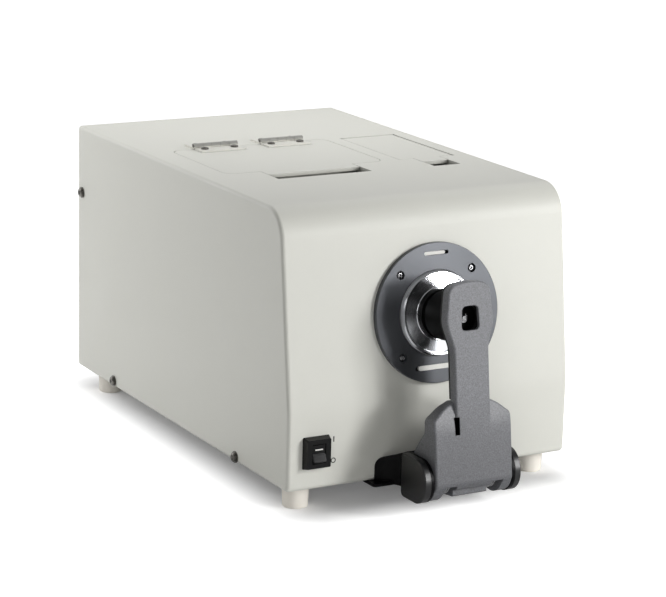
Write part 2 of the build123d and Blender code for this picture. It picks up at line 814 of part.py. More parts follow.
with BuildPart() as disc_screws:
    seat = disc_thickness - disc_counterbore
    with BuildSketch(port_plane.offset(seat)):
        with GridLocations(disc_screw_square, disc_screw_square, 2, 2):
            Circle(disc_head_radius)
    extrude(amount=disc_head_height)
    fillet(
        disc_screws.edges().filter_by(GeomType.CIRCLE).filter_by(
            lambda edge: port_plane.to_local_coords(edge.center()).Z > seat + disc_head_height / 2
        ),
        disc_head_edge,
    )
    with BuildSketch(port_plane.offset(seat)):
        with GridLocations(disc_screw_square, disc_screw_square, 2, 2):
            Circle(disc_screw_radius)
    extrude(amount=-seat - wall - 2.0)
    with BuildSketch(port_plane.offset(seat + disc_head_height)):
        with GridLocations(disc_screw_square, disc_screw_square, 2, 2):
            RegularPolygon(disc_socket_radius, 6)
    extrude(amount=-disc_socket_depth, mode=Mode.SUBTRACT)
save(disc_screws.part, "port_disc_screws")

# profile plane through the port's axis: local x is the radius, local y points out of the face
port_section = Plane(
    origin=(port_x, port_y, port_height), x_dir=(1, 0, 0), z_dir=(0, -up_y, -up_z)
)
port_axis = Axis((port_x, port_y, port_height), (0, out_y, out_z))
mask_edge = 0.9
mask_dish = 1.5
mask_groove_width = 0.5
mask_bore_length = 2.2
mask_back_radius = 17.5
mask_back_depth = 3.0
mask_flat_depth = mask_radius - math.sqrt(mask_radius ** 2 - (mask_flat_length / 2) ** 2)

with BuildPart() as mask:
    with BuildSketch(port_section):
        with BuildLine():
            Polyline(
                (mask_back_radius, 0),
                (mask_radius, 0),
                (mask_radius, mask_height - mask_edge),
                (mask_radius - mask_edge, mask_height),
                (mask_radius - mask_rim_width, mask_height),
                (mask_radius - mask_rim_width - mask_groove_width, mask_height - mask_dish),
                (mask_land_radius + mask_groove_width, mask_height - mask_groove_width),
                (mask_land_radius, mask_height),
                (mask_aperture_radius, mask_height),
                (mask_aperture_radius, mask_height - mask_bore_length),
                (mask_back_radius, mask_back_depth),
                close=True,
            )
        make_face()
    revolve(axis=port_axis)
    with BuildSketch(port_plane):
        with Locations((mask_flat_depth / 2 - mask_radius, 0)):
            Rectangle(mask_flat_depth, mask_flat_length)
    extrude(amount=mask_height + 1, mode=Mode.SUBTRACT)
save(mask.part, "target_mask")

# ---------------------------------------------------------------------------------------
# Integrating sphere in two halves, with its port tube, stand, bolts and lamps
# ---------------------------------------------------------------------------------------
sphere_outer = sphere_radius + sphere_wall
sphere_flange_radius = sphere_outer + sphere_flange
sphere_section = Plane(
    origin=(port_x, sphere_y, sphere_z), x_dir=(1, 0, 0), z_dir=(0, 0, 1)
)
sphere_axis = Axis((port_x, sphere_y, sphere_z), (0, 1, 0))
lamp_setback = 24.0
lamp_hole_radius = 11.0
lamp_radius = 14.0
lamp_reach = 98.0
tube_radius = 3.0
bolt_ring = sphere_outer + sphere_flange / 2 + 0.2
bolt_radius = 1.5
bolt_head_radius = 2.6
bolt_head_height = 2.0
bolt_angles = [22.5 + 45.0 * number for number in range(8)]
transmission_radius = 14.0


def half_sphere(side):
    """One half of the sphere's shell with its flange; side is -1 at the front."""
    with BuildPart() as half:
        with BuildSketch(sphere_section):
            Circle(sphere_outer)
            Circle(sphere_radius, mode=Mode.SUBTRACT)
            with Locations((sphere_outer / 2, side * sphere_outer / 2)):
                Rectangle(sphere_outer, sphere_outer, mode=Mode.INTERSECT)
            with Locations((
                (sphere_flange_radius + sphere_radius + 1) / 2, side * sphere_flange_thickness / 2
            )):
                Rectangle(sphere_flange_radius - sphere_radius - 1, sphere_flange_thickness)
        revolve(axis=sphere_axis)
        with BuildSketch(Plane.XZ.offset(-sphere_y)):
            for angle in bolt_angles:
                turn = math.radians(angle)
                with Locations((
                    port_x + bolt_ring * math.cos(turn), sphere_z + bolt_ring * math.sin(turn)
                )):
                    Circle(bolt_radius + 0.1)
        extrude(amount=-side * sphere_flange_thickness, mode=Mode.SUBTRACT)
    return half.part


with BuildPart() as sphere_front_half:
    add(half_sphere(-1))
    with BuildSketch(port_plane.offset(-gap)):
        Circle(sphere_tube_radius)
    extrude(amount=-(sphere_setback - sphere_radius) - sphere_wall)
    with Locations((port_x, sphere_y, sphere_z)):
        Sphere(sphere_radius, mode=Mode.SUBTRACT)
    with BuildSketch(port_plane):
        Circle(sphere_port_radius)
    extrude(amount=-sphere_setback / 2, mode=Mode.SUBTRACT)
save(sphere_front_half.part, "sphere_front")

with BuildPart() as sphere_rear_half:
    add(half_sphere(1))
    with BuildSketch(Plane.XZ.offset(-sphere_y)):
        with Locations((port_x, axis_z)):
            Circle(transmission_radius)
    extrude(amount=-2 * sphere_outer, mode=Mode.SUBTRACT)
    with BuildSketch(Plane.YZ.offset(port_x)):
        with Locations((sphere_y + lamp_setback, sphere_z)):
            Circle(lamp_hole_radius)
    extrude(amount=2 * sphere_outer, both=True, mode=Mode.SUBTRACT)
save(sphere_rear_half.part, "sphere_rear")

stand_half = 46.0
stand_thickness = 4.0
stand_foot = 24.0
stand_top = sphere_z - 52.0
stand_y = sphere_y + sphere_flange_thickness + bolt_head_height + gap
floor_seat = floor_z

with BuildPart() as bolts:
    for angle in bolt_angles:
        turn = math.radians(angle)
        centre = (port_x + bolt_ring * math.cos(turn), sphere_z + bolt_ring * math.sin(turn))
        with BuildSketch(Plane.XZ.offset(-sphere_y)):
            with Locations(centre):
                Circle(bolt_radius)
        extrude(amount=sphere_flange_thickness + bolt_head_height, both=True)
        for side in (-1, 1):
            start = sphere_y + side * sphere_flange_thickness
            with BuildSketch(Plane.XZ.offset(-start)):
                with Locations(centre):
                    RegularPolygon(bolt_head_radius, 6)
            extrude(amount=-side * bolt_head_height)
save(bolts.part, "sphere_bolts")

with BuildPart() as stand:
    with BuildSketch(Plane.XZ.offset(-stand_y)):
        with Locations((port_x, (stand_top + floor_seat) / 2)):
            Rectangle(2 * stand_half, stand_top - floor_seat)
        with Locations((port_x, sphere_z)):
            Circle(sphere_outer + gap, mode=Mode.SUBTRACT)
    extrude(amount=-stand_thickness)
    add(block(
        (port_x - stand_half, port_x + stand_half), (stand_y, stand_y + stand_foot),
        (floor_seat, floor_seat + stand_thickness),
    ))
save(stand.part, "sphere_stand")


def both_sides(reach):
    """Planes at reach to both sides of the port, looking away from it, on the lamps' axis."""
    return [
        Plane(
            origin=(port_x + side * reach, sphere_y + lamp_setback, sphere_z),
            x_dir=(0, 1, 0), z_dir=(side, 0, 0),
        )
        for side in (-1, 1)
    ]


with BuildPart() as lamps:
    for plane in both_sides(sphere_radius - 10.0):
        with BuildSketch(plane):
            Circle(lamp_radius)
        extrude(amount=lamp_reach - sphere_radius + 10.0)
        with BuildSketch(plane):
            Circle(lamp_hole_radius)
        extrude(amount=lamp_reach - sphere_radius + 8.0, mode=Mode.SUBTRACT)
    with Locations((port_x, sphere_y, sphere_z)):
        Sphere(sphere_outer + gap, mode=Mode.SUBTRACT)
save(lamps.part, "lamp_housings")

with BuildPart() as flash_tubes:
    for plane in both_sides(lamp_reach - 2.0 - gap):
        with BuildSketch(plane):
            Circle(tube_radius)
        extrude(amount=-18.0)
save(flash_tubes.part, "flash_tubes")

# ---------------------------------------------------------------------------------------
# Lens bench behind the transmission chamber
# ---------------------------------------------------------------------------------------
bench_front = chamber_inner_y[1] + compartment_wall + gap
bench_back = from_front(depth - bench_setback)
bench_plate = 4.0
carriage_thickness = 6.0
carriage_y = bench_front + 4.7
carriage_half_tall = 24.0
rail_points = [(port_x - rail_half_spacing, axis_z), (port_x + rail_half_spacing, axis_z)]

with BuildPart() as bench:
    with BuildSketch(Plane.XZ.offset(-bench_back)):
        with Locations((port_x, (floor_seat + axis_z + 30.0) / 2)):
            Rectangle(2 * bench_half, axis_z + 30.0 - floor_seat)
        with Locations((port_x, axis_z)):
            Circle(12.0, mode=Mode.SUBTRACT)
    extrude(amount=-bench_plate)
    add(block(
        (port_x - bench_half, port_x + bench_half), (bench_back - 20.0, bench_back),
        (floor_seat, floor_seat + bench_plate),
    ))
save(bench.part, "lens_bench")

with BuildPart() as rails:
    with BuildSketch(Plane.XZ.offset(-bench_front)):
        with Locations(*rail_points):
            Circle(rail_radius)
    extrude(amount=-(bench_back - gap - bench_front))
save(rails.part, "lens_rails")

lever_left = lever_x - lever_width / 2
lever_right = lever_x + lever_width / 2
knob_x = selector_lid_x
knob_y = lever_front + lever_width / 2
with BuildPart() as carriage:
    with BuildSketch(Plane.XZ.offset(-carriage_y)):
        with Locations((port_x, axis_z)):
            RectangleRounded(2 * bench_half, 2 * carriage_half_tall, 6.0)
        with Locations(((port_x + bench_half - 8 + lever_right) / 2, (axis_z + lever_z) / 2)):
            Rectangle(lever_right - port_x - bench_half + 8, lever_z - axis_z + lever_thickness)
        with Locations((port_x, axis_z)):
            Circle(lens_radius + 0.1, mode=Mode.SUBTRACT)
        with Locations(*rail_points):
            Circle(rail_radius + running_gap, mode=Mode.SUBTRACT)
    extrude(amount=-carriage_thickness)
    lever_range_z = (lever_z - lever_half, lever_z + lever_half)
    add(block((lever_left, lever_right), (lever_front, carriage_y + 1), lever_range_z))
    add(block(
        (lever_left, knob_x + lever_width / 2), (lever_front, lever_front + lever_width),
        lever_range_z,
    ))
save(carriage.part, "lens_carriage")

with BuildPart() as lens:
    with BuildSketch(Plane.XZ.offset(-carriage_y - 1.0)):
        with Locations((port_x, axis_z)):
            Circle(lens_radius)
    extrude(amount=-carriage_thickness - 2.0)
save(lens.part, "lens")

with BuildPart() as knob:
    with BuildSketch(Plane.XY.offset(lever_range_z[1])):
        with Locations((knob_x, knob_y)):
            Circle(knob_radius)
    extrude(amount=12.0)
    fillet(knob.edges().group_by(Axis.Z)[-1], 1.5)
save(knob.part, "selector_knob")

with BuildPart() as sensor:
    add(block(
        (port_x - 20.0, port_x + 20.0), (bench_back + bench_plate, bench_back + bench_plate + 18.0),
        (axis_z - 20.0, axis_z + 20.0),
    ))
    with BuildSketch(Plane.XZ.offset(-(bench_back + bench_plate))):
        with Locations((port_x, axis_z)):
            Circle(9.0)
    extrude(amount=-6.0, mode=Mode.SUBTRACT)
save(sensor.part, "spectral_sensor")

# ---------------------------------------------------------------------------------------
# Boards, capacitors and the two sockets
# ---------------------------------------------------------------------------------------
main_x = (board_side_inset - width / 2, board_inner_left)
power_x = (board_inner_right, width / 2 - board_side_inset)
board_y = (from_front(board_front), from_front(depth - board_back_inset))
board_inset = 5.0
spacer_points = [
    (x, y)
    for board_x in (main_x, power_x)
    for x in (board_x[0] + board_inset, board_x[1] - board_inset)
    for y in (board_y[0] + board_inset, board_y[1] - board_inset)
]
capacitor_radius = 12.0
capacitor_height = 45.0

save(block(main_x, board_y, (board_top - board_thickness, board_top)), "main_board")
save(block(power_x, board_y, (board_top - board_thickness, board_top)), "power_board")
with BuildPart() as spacers:
    with BuildSketch(Plane.XY.offset(floor_seat)):
        with Locations(*spacer_points):
            Circle(3.0)
    extrude(amount=spacer_height)
save(spacers.part, "board_spacers")
with BuildPart() as capacitors:
    with BuildSketch(Plane.XY.offset(board_top)):
        with Locations((sum(power_x) / 2, sum(board_y) / 2)):
            with GridLocations(0, 40.0, 1, 3):
                Circle(capacitor_radius)
    extrude(amount=capacitor_height)
save(capacitors.part, "flash_capacitors")

with BuildPart() as inlet:
    add(block(
        (inlet_x - inlet_body, inlet_x + inlet_body), (panel_front - gap - 13.0, panel_front - gap),
        (board_top, board_top + 2 * inlet_body),
    ))
    with BuildSketch(Plane.XZ.offset(-back_y)):
        with Locations((inlet_x, inlet_z)):
            Circle(inlet_radius - gap)
    extrude(amount=rear_sheet + gap)
    with BuildSketch(Plane.XZ.offset(-back_y)):
        with Locations((inlet_x, inlet_z)):
            Circle(inlet_radius - 2.2)
            Circle(1.0, mode=Mode.SUBTRACT)
    extrude(amount=10.0, mode=Mode.SUBTRACT)
save(inlet.part, "dc_inlet")

with BuildPart() as socket:
    add(block(
        (socket_x - socket_width / 2 + gap, socket_x + socket_width / 2 - gap),
        (back_y - 16.0, back_y),
        (board_top, board_top + socket_tall - 2 * gap),
    ))
    with BuildSketch(Plane.XZ.offset(-back_y)):
        with Locations((socket_x, socket_z)):
            Rectangle(socket_width - 3.4, socket_tall - 3.4)
            Rectangle(5.6, 3.2, mode=Mode.SUBTRACT)
    extrude(amount=9.0, mode=Mode.SUBTRACT)
save(socket.part, "data_socket")

# ---------------------------------------------------------------------------------------
# Specimen holder: cast arm on a pivot, with a sprung pad over the port
# ---------------------------------------------------------------------------------------
barrel_low = barrel_radius + 1.5
# the window's upper and lower edges: half width, and distance up the arm
window_top = (6.9, 127.7)
window_bottom = (7.9, 109.45)
window_corner = 3.6
window_edge = 0.5
slot_x = -13.65               # blind slot beside the neck
slot_low, slot_high = 33.1, 46.4
slot_wide = 4.1
slot_wall = 1.5
back_rise = 58.0
back_inset = 0.6
plate_hole_radius = 11.0
arm_screw_points = [(0, 68.0), (0, 92.0), (-13.0, 137.0), (13.0, 137.0)]
arm_boss_radius = 2.8
arm_screw_radius = 1.2
arm_screw_head_radius = 2.3
notch_x = (tongue_half, body_half - boss_width)
arm_deep = 2 * barrel_radius
cavity_top = shoulder_rise - arm_wall
# lower body's back edge, out from the pivot: at the bend, and at the top
flank_back, flank_top = 3.3, 4.8
flank_bend = 35.4
flank_foot = (18.4, -13.2)


def neck_outline(low, depth, inset):
    """Front view of the neck and head above low, at a depth behind the arm's face."""
    right = [
        (head_top_half, head_shoulder), (head_half, head_low), (neck_right, neck_top),
        (neck_right, low),
    ]
    left = [
        (-neck_left, low), (-neck_left, neck_top), (-head_half, head_low),
        (-head_top_half, head_shoulder),
    ]
    radii = [0, 22, 22, 9, 40, 9, 22, 22, 0]
    with BuildSketch(arm_face.offset(-depth)) as outline:
        with BuildLine():
            FilletPolyline(*left, (0, head_rise), *right, radius=radii, close=True)
        make_face()
        if inset:
            offset(amount=-inset, mode=Mode.REPLACE)
    return outline.sketch


def body_outline(inset):
    """Front view of the arm's lower body, moved in by inset."""
    right = [
        (neck_right, shoulder_rise), body_corner, (body_half, body_shoulder),
        (body_half, -barrel_low),
    ]
    left = [
        (-body_half, -barrel_low), (-body_half, body_shoulder), (-body_corner[0], body_corner[1]),
        (-neck_left, shoulder_rise),
    ]
    with BuildSketch(arm_face) as outline:
        with BuildLine():
            FilletPolyline(*left, *right, radius=[0, 5, 25, 0, 0, 25, 5, 0], close=True)
        make_face()
        if inset:
            offset(amount=-inset, mode=Mode.REPLACE)
    return outline.sketch


def arm_span(x_range, out_range, rise_range):
    """Box in the arm's own directions: across, out of its front face, and up it."""
    plane = arm_face.offset(out_range[0])
    with BuildPart(mode=Mode.PRIVATE) as span:
        with BuildSketch(plane):
            with Locations((sum(x_range) / 2, sum(rise_range) / 2)):
                Rectangle(x_range[1] - x_range[0], rise_range[1] - rise_range[0])
        extrude(amount=out_range[1] - out_range[0])
    return span.part


def arm_local(point):
    """A point as (across, up the arm, out from the pivot)."""
    local = arm_side.to_local_coords(point)
    return local.Z, local.X, local.Y


with BuildPart() as arm_neck:
    extrude(neck_outline(shoulder_bend - 2, 0, 0), amount=-arm_depth)
    fillet(arm_neck.edges().filter_by(
        lambda edge: arm_local(edge.center())[2] > barrel_radius - eps
        and arm_local(edge.center())[1] > shoulder_bend
    ), arm_edge_radius)

with BuildPart() as arm_body:
    with BuildSketch(arm_side):
        with BuildLine():
            Line((under_rise, barrel_radius), (shoulder_bend, barrel_radius))
            shoulder = TangentArc(
                (shoulder_bend, barrel_radius), (shoulder_rise + 1, barrel_radius - shoulder_drop),
                tangent=(1, 0),
            )
            Polyline(
                shoulder @ 1, (shoulder_rise + 1, flank_top), (flank_bend, flank_back), flank_foot,
                (0, -boss_radius), (under_rise - under_radius, 0),
                (under_rise - under_radius, barrel_radius - under_radius),
            )
            RadiusArc(
                (under_rise - under_radius, barrel_radius - under_radius),
                (under_rise, barrel_radius), under_radius,
            )
        make_face()
    extrude(amount=body_half, both=True)
    extrude(body_outline(0), amount=-arm_deep - 1, mode=Mode.INTERSECT)
    fillet(arm_body.edges().filter_by(
        lambda edge: abs(abs(arm_local(edge.center())[0]) - body_half) < eps
        and abs(arm_local(edge.center())[2] - barrel_radius) < eps
    ), arm_edge_radius)

# hollow of the lower body, open at its back
with BuildPart() as arm_cavity:
    extrude(body_outline(arm_wall), amount=-arm_deep - 1)
    with BuildSketch(arm_side):
        with BuildLine():
            inner_front = barrel_radius - arm_wall
            Line((barrel_low, inner_front), (shoulder_bend, inner_front))
            inner_shoulder = TangentArc(
                (shoulder_bend, inner_front), (shoulder_rise + 1, inner_front - shoulder_drop),
                tangent=(1, 0),
            )
            Polyline(
                inner_shoulder @ 1, (shoulder_rise + 1, -arm_deep), (barrel_low, -arm_deep),
                (barrel_low, inner_front),
            )
        make_face()
    extrude(amount=body_half, both=True, mode=Mode.INTERSECT)

with BuildPart() as arm:
    add(arm_body.part)
    add(arm_neck.part)
    # bosses at the ends and the tongue between them
    for side in (-1, 1):
        with BuildSketch(arm_side.offset(side * notch_x[1])):
            Circle(boss_radius)
        extrude(amount=side * boss_width)
    with BuildSketch(arm_side):
        Circle(boss_radius)
        with Locations(((boss_radius - tongue_low) / 2, (tongue_out - boss_radius) / 2)):
            Rectangle(boss_radius + tongue_low, boss_radius + tongue_out, mode=Mode.INTERSECT)
    extrude(amount=tongue_half, both=True)
    # open back: lower body, then the shallow tray behind the neck and head
    add(arm_cavity.part, mode=Mode.SUBTRACT)
    add(arm_span(
        (-neck_left + arm_wall, neck_right - arm_wall), (-arm_deep, -arm_wall),
        (barrel_low, cavity_top),
    ), mode=Mode.SUBTRACT)
    extrude(neck_outline(back_rise, arm_wall, arm_wall), amount=-arm_depth, mode=Mode.SUBTRACT)
    with BuildSketch(arm_face.offset(-arm_depth)):
        with Locations(*arm_screw_points):
            Circle(arm_boss_radius)
    extrude(amount=arm_depth - arm_wall)
    add(arm_span(
        (slot_x - slot_wide / 2 - slot_wall, slot_x + slot_wide / 2 + slot_wall),
        (-arm_depth, -arm_wall), (slot_low - slot_wall, slot_high + slot_wall),
    ))
    # window and blind slot
    with BuildSketch(arm_face):
        with BuildLine():
            FilletPolyline(
                (-window_top[0], window_top[1]), window_top, window_bottom,
                (-window_bottom[0], window_bottom[1]), radius=window_corner, close=True,
            )
        make_face()
    extrude(amount=-arm_depth - arm_wall, mode=Mode.SUBTRACT)
    with BuildSketch(arm_face):
        with Locations((slot_x, (slot_low + slot_high) / 2)):
            Rectangle(slot_wide, slot_high - slot_low)
    extrude(amount=slot_wall - arm_depth, mode=Mode.SUBTRACT)
    # openings on both sides of the tongue, and the spool that the springs lie round
    for side in (-1, 1):
        across = sorted((side * notch_x[0], side * notch_x[1]))
        add(arm_span(
            across, (-arm_deep - 1, -arm_wall), (notch_rise, barrel_low + 1)
        ), mode=Mode.SUBTRACT)
        add(arm_span(
            across, (-arm_deep - 1, 1), (-barrel_low, notch_rise)
        ), mode=Mode.SUBTRACT)
    with BuildSketch(arm_side):
        Circle(spool_radius)
    extrude(amount=notch_x[1], both=True)
    # pivot bore and blind holes for the back plate's screws
    with BuildSketch(arm_side.offset(-body_half)):
        Circle(pivot_pin_radius + running_gap)
    extrude(amount=2 * body_half, mode=Mode.SUBTRACT)
    with BuildSketch(arm_face.offset(-arm_depth)):
        with Locations(*arm_screw_points):
            Circle(arm_screw_radius)
    extrude(amount=arm_depth - 2.0, mode=Mode.SUBTRACT)
save(arm.part, "arm_shell")

with BuildPart() as arm_plate:
    extrude(neck_outline(back_rise, arm_depth, back_inset), amount=-arm_back_thickness)
    with BuildSketch(arm_face.offset(-arm_depth)):
        with Locations((0, port_rise)):
            Circle(plate_hole_radius)
        with Locations(*arm_screw_points):
            Circle(arm_screw_radius + 0.1)
    extrude(amount=-arm_back_thickness, mode=Mode.SUBTRACT)
save(arm_plate.part, "arm_back")

with BuildPart() as arm_screws:
    plate_back = arm_face.offset(-arm_depth - arm_back_thickness)
    with BuildSketch(plate_back):
        with Locations(*arm_screw_points):
            Circle(arm_screw_radius)
    extrude(amount=arm_depth + arm_back_thickness - 3.0)
    with BuildSketch(plate_back):
        with Locations(*arm_screw_points[:2]):
            Circle(arm_screw_head_radius)
    extrude(amount=-1.4)
save(arm_screws.part, "arm_screws")

# pad, stem, spring and clip, all on the port's axis
pad_face = mask_height + gap
pad_skirt_radius = sleeve_radius - sleeve_wall - gap
pad_skirt_wall = 2.0
pad_disc_thickness = 3.7
pad_back = 24.0
sleeve_front = 17.0
sleeve_end_wall = 2.0
stem_end = arm_back_out + 2.0
clip_out = arm_back_out + gap
clip_radius = 3.4
clip_thickness = 0.9
spring_radius = 6.5
spring_wire = 0.6
spring_turns = 4

with BuildPart() as sleeve:
    with BuildSketch(port_plane.offset(sleeve_front)):
        Circle(sleeve_radius)
        Circle(sleeve_radius - sleeve_wall, mode=Mode.SUBTRACT)
    extrude(amount=arm_back_out - sleeve_front)
    with BuildSketch(port_plane.offset(arm_back_out)):
        Circle(sleeve_radius - sleeve_wall / 2)
        Circle(stem_radius + running_gap, mode=Mode.SUBTRACT)
    extrude(amount=-sleeve_end_wall)
save(sleeve.part, "pad_sleeve")

with BuildPart() as pad:
    with BuildSketch(port_plane.offset(pad_face)):
        Circle(pad_radius)
    extrude(amount=pad_disc_thickness)
    with BuildSketch(port_plane.offset(pad_face + pad_disc_thickness)):
        Circle(pad_skirt_radius)
        Circle(pad_skirt_radius - pad_skirt_wall, mode=Mode.SUBTRACT)
    extrude(amount=pad_back - pad_face - pad_disc_thickness)
save(pad.part, "pad")

with BuildPart() as stem:
    stem_start = pad_face + pad_disc_thickness
    with BuildSketch(port_plane.offset(stem_start)):
        Circle(stem_radius + 1.5)
    extrude(amount=2.0)
    with BuildSketch(port_plane.offset(stem_start)):
        Circle(stem_radius)
    extrude(amount=stem_end - stem_start)
save(stem.part, "pad_stem")

with BuildPart() as clip:
    with BuildSketch(port_plane.offset(clip_out)):
        Circle(clip_radius)
        Circle(stem_radius + 0.02, mode=Mode.SUBTRACT)
        with Locations((0, clip_radius)):
            Rectangle(2.6, 2 * clip_radius, mode=Mode.SUBTRACT)
    extrude(amount=clip_thickness)
save(clip.part, "stem_clip")

spring_start = pad_face + pad_disc_thickness + spring_wire + 0.1
spring_end = arm_back_out - sleeve_end_wall - spring_wire - 0.1
coil = Helix(
    pitch=(spring_end - spring_start) / spring_turns,
    height=spring_end - spring_start,
    radius=spring_radius,
)
coil_start = coil @ 0
with BuildPart() as coil_part:
    with BuildSketch(Plane(origin=coil_start, z_dir=coil % 0)):
        Circle(spring_wire)
    sweep(path=coil)
save(port_plane.offset(spring_start).location * coil_part.part, "pad_spring")

# ---------------------------------------------------------------------------------------
# Holder base: cheeks, web and foot; pivot pin, springs, end caps and screws
# ---------------------------------------------------------------------------------------
cheek_inner = body_half + cheek_gap
cheek_outer = cheek_inner + cheek_width
web_front = pivot_y + barrel_radius + 1.2
cheek_low = pivot_height - cheek_low_drop
cheek_high = pivot_height + cheek_radius
web_back_high = pivot_height + web_face_rise
web_depth = front_y - web_front
web_arc, web_arc_x = 0.37, 4.2       # where the web's hollow sides pass
flange_low = bottom_z - 2.5
flange_back = from_front(45.0)
flange_front = front_y - 8.0


def cheek_outline(x, back):
    """Side view of a cheek at x: round in front of the pivot, square at its back."""
    front = pivot_y - cheek_radius
    round_radius = cheek_radius - 0.3
    with BuildSketch(Plane.YZ.offset(x)) as outline:
        with BuildLine():
            FilletPolyline(
                (back, cheek_low), (back, cheek_high),
                (front, cheek_high), (front, cheek_low),
                radius=[4.0, 2.5, round_radius, round_radius],
                close=True,
            )
        make_face()
    return outline.sketch


with BuildPart() as base:
    for side in (-1, 1):
        extrude(
            cheek_outline(port_x + side * cheek_inner, web_front + 0.5), amount=side * cheek_width
        )
    with BuildSketch(Plane.XY.offset(flange_low)):
        with BuildLine():
            Polyline(
                (port_x - base_half, front_y - gap), (port_x + base_half, front_y - gap)
            )
            Polyline((port_x - cheek_outer, web_front), (port_x + cheek_outer, web_front))
            for side in (-1, 1):
                ThreePointArc(
                    (port_x + side * base_half, front_y - gap),
                    (port_x + side * (cheek_outer + web_arc_x), front_y - web_arc * web_depth),
                    (port_x + side * cheek_outer, web_front),
                )
        make_face()
    extrude(amount=cheek_high - flange_low)
    with BuildSketch(Plane.YZ.offset(port_x)):
        with BuildLine():
            Polyline(
                (web_front, cheek_high), (front_y, web_back_high), (front_y, cheek_high),
                close=True,
            )
        make_face()
    extrude(amount=base_half + 1, both=True, mode=Mode.SUBTRACT)
    # rounded upper corners at the web's ends
    with BuildSketch(Plane.XZ.offset(-front_y)):
        for side in (-1, 1):
            centre_x = port_x + side * (base_half - web_corner_radius)
            with Locations((centre_x + side * web_corner_radius, web_back_high)):
                Rectangle(2 * web_corner_radius, 2 * web_corner_radius)
            with Locations((centre_x, web_back_high - web_corner_radius)):
                Circle(web_corner_radius, mode=Mode.SUBTRACT)
    extrude(amount=front_y - web_front, mode=Mode.SUBTRACT)
    with BuildSketch(Plane.XY.offset(flange_low)):
        with Locations((port_x, (flange_front + flange_back) / 2)):
            RectangleRounded(2 * base_plate_half, flange_back - flange_front, 3.0)
    extrude(amount=bottom_z - flange_low)
    with BuildSketch(Plane.YZ.offset(port_x - cheek_outer)):
        with Locations((pivot_y, pivot_height)):
            Circle(pivot_pin_radius + running_gap)
    extrude(amount=2 * cheek_outer, mode=Mode.SUBTRACT)
    with BuildSketch(Plane.XY.offset(flange_low)):
        with Locations(*base_screw_points):
            Circle(base_screw_radius + 0.2)
    extrude(amount=bottom_z - flange_low, mode=Mode.SUBTRACT)
save(base.part, "holder_base")

with BuildPart() as caps:
    for side in (-1, 1):
        extrude(cheek_outline(port_x + side * cheek_outer, web_front), amount=side * cap_width)
    fillet(caps.edges().filter_by(
        lambda edge: abs(abs(edge.center().X - port_x) - cheek_outer - cap_width) < eps
    ), cap_edge_radius)
save(caps.part, "end_caps")

with BuildPart() as pivot_pin:
    with BuildSketch(Plane.YZ.offset(port_x - cheek_outer)):
        with Locations((pivot_y, pivot_height)):
            Circle(pivot_pin_radius)
    extrude(amount=2 * cheek_outer)
save(pivot_pin.part, "pivot_pin")

with BuildPart() as base_screws:
    with BuildSketch(Plane.XY.offset(flange_low)):
        with Locations(*base_screw_points):
            Circle(base_screw_radius)
    extrude(amount=bottom_z - flange_low + pan_sheet + 2.0)
    with BuildSketch(Plane.XY.offset(flange_low)):
        with Locations(*base_screw_points):
            Circle(3.6)
    extrude(amount=-1.8)
save(base_screws.part, "bracket_screws")

torsion_wire = 0.9
torsion_radius = spool_radius + torsion_wire + gap
torsion_turns = 4
torsion_length = notch_x[1] - notch_x[0] - 2 * torsion_wire - 0.8
torsion_middle = sum(notch_x) / 2
torsion = Helix(
    pitch=torsion_length / torsion_turns,
    height=torsion_length,
    radius=torsion_radius,
)
with BuildPart() as torsion_part:
    with BuildSketch(Plane(origin=torsion @ 0, z_dir=torsion % 0)):
        Circle(torsion_wire)
    sweep(path=torsion)
    # one leg rises behind the arm's front wall, the other points back to the web
    with BuildSketch(Plane(origin=torsion @ 0, z_dir=(0, 1, 0))):
        Circle(torsion_wire)
    extrude(amount=-12.0)
coil_back = Plane(
    origin=(port_x, pivot_y, pivot_height), x_dir=(0, out_y, out_z), z_dir=(1, 0, 0)
)
torsions = [
    coil_back.offset(side * torsion_middle - torsion_length / 2).location * torsion_part.part
    for side in (-1, 1)
]
save(Compound(children=torsions), "torsion_springs")

# ---------------------------------------------------------------------------------------
# Power switch: tapered housing on the lower front, and the rocker it holds
# ---------------------------------------------------------------------------------------
rocker_axis_out = 2.6
rocker_half = rocker_radius + 0.3
switch_bore_half = rocker_width / 2 + gap
rocker_pin_radius = 1.0

with BuildPart() as switch:
    with BuildSketch(switch_plane):
        RectangleRounded(switch_width, switch_tall, 1.2)
    with BuildSketch(switch_plane.offset(switch_proud)):
        RectangleRounded(switch_width - 2 * switch_taper, switch_tall - 2 * switch_taper, 1.0)
    loft()
    with BuildSketch(switch_plane):
        Rectangle(switch_width - 4.0 - 2 * gap, switch_tall - 4.0 - 2 * gap)
    extrude(amount=-14.0)
    with BuildSketch(switch_plane.offset(switch_proud)):
        Rectangle(2 * switch_bore_half, 2 * (rocker_radius + gap))
    extrude(amount=-switch_proud - 8.0, mode=Mode.SUBTRACT)
    with BuildSketch(Plane.YZ.offset(switch_x - switch_bore_half - 2.0)):
        with Locations((front_y - rocker_axis_out, switch_height)):
            Circle(rocker_pin_radius)
    extrude(amount=2 * switch_bore_half + 4.0, mode=Mode.SUBTRACT)
save(switch.part, "switch_housing")

rocker_tilt = rocker_throw / 2
rocker_lip_out = 3.6
rocker_valley_out = 2.3
rocker_end = rocker_radius - 0.3
rocker_y = front_y - rocker_axis_out


def rocker_point(out, rise):
    """Point of the rocker's side view after its rest tilt, upper end pressed in."""
    turn = math.radians(rocker_tilt)
    tilted_out = out * math.cos(turn) - rise * math.sin(turn)
    tilted_rise = rise * math.cos(turn) + out * math.sin(turn)
    return (rocker_y - tilted_out, switch_height + tilted_rise)


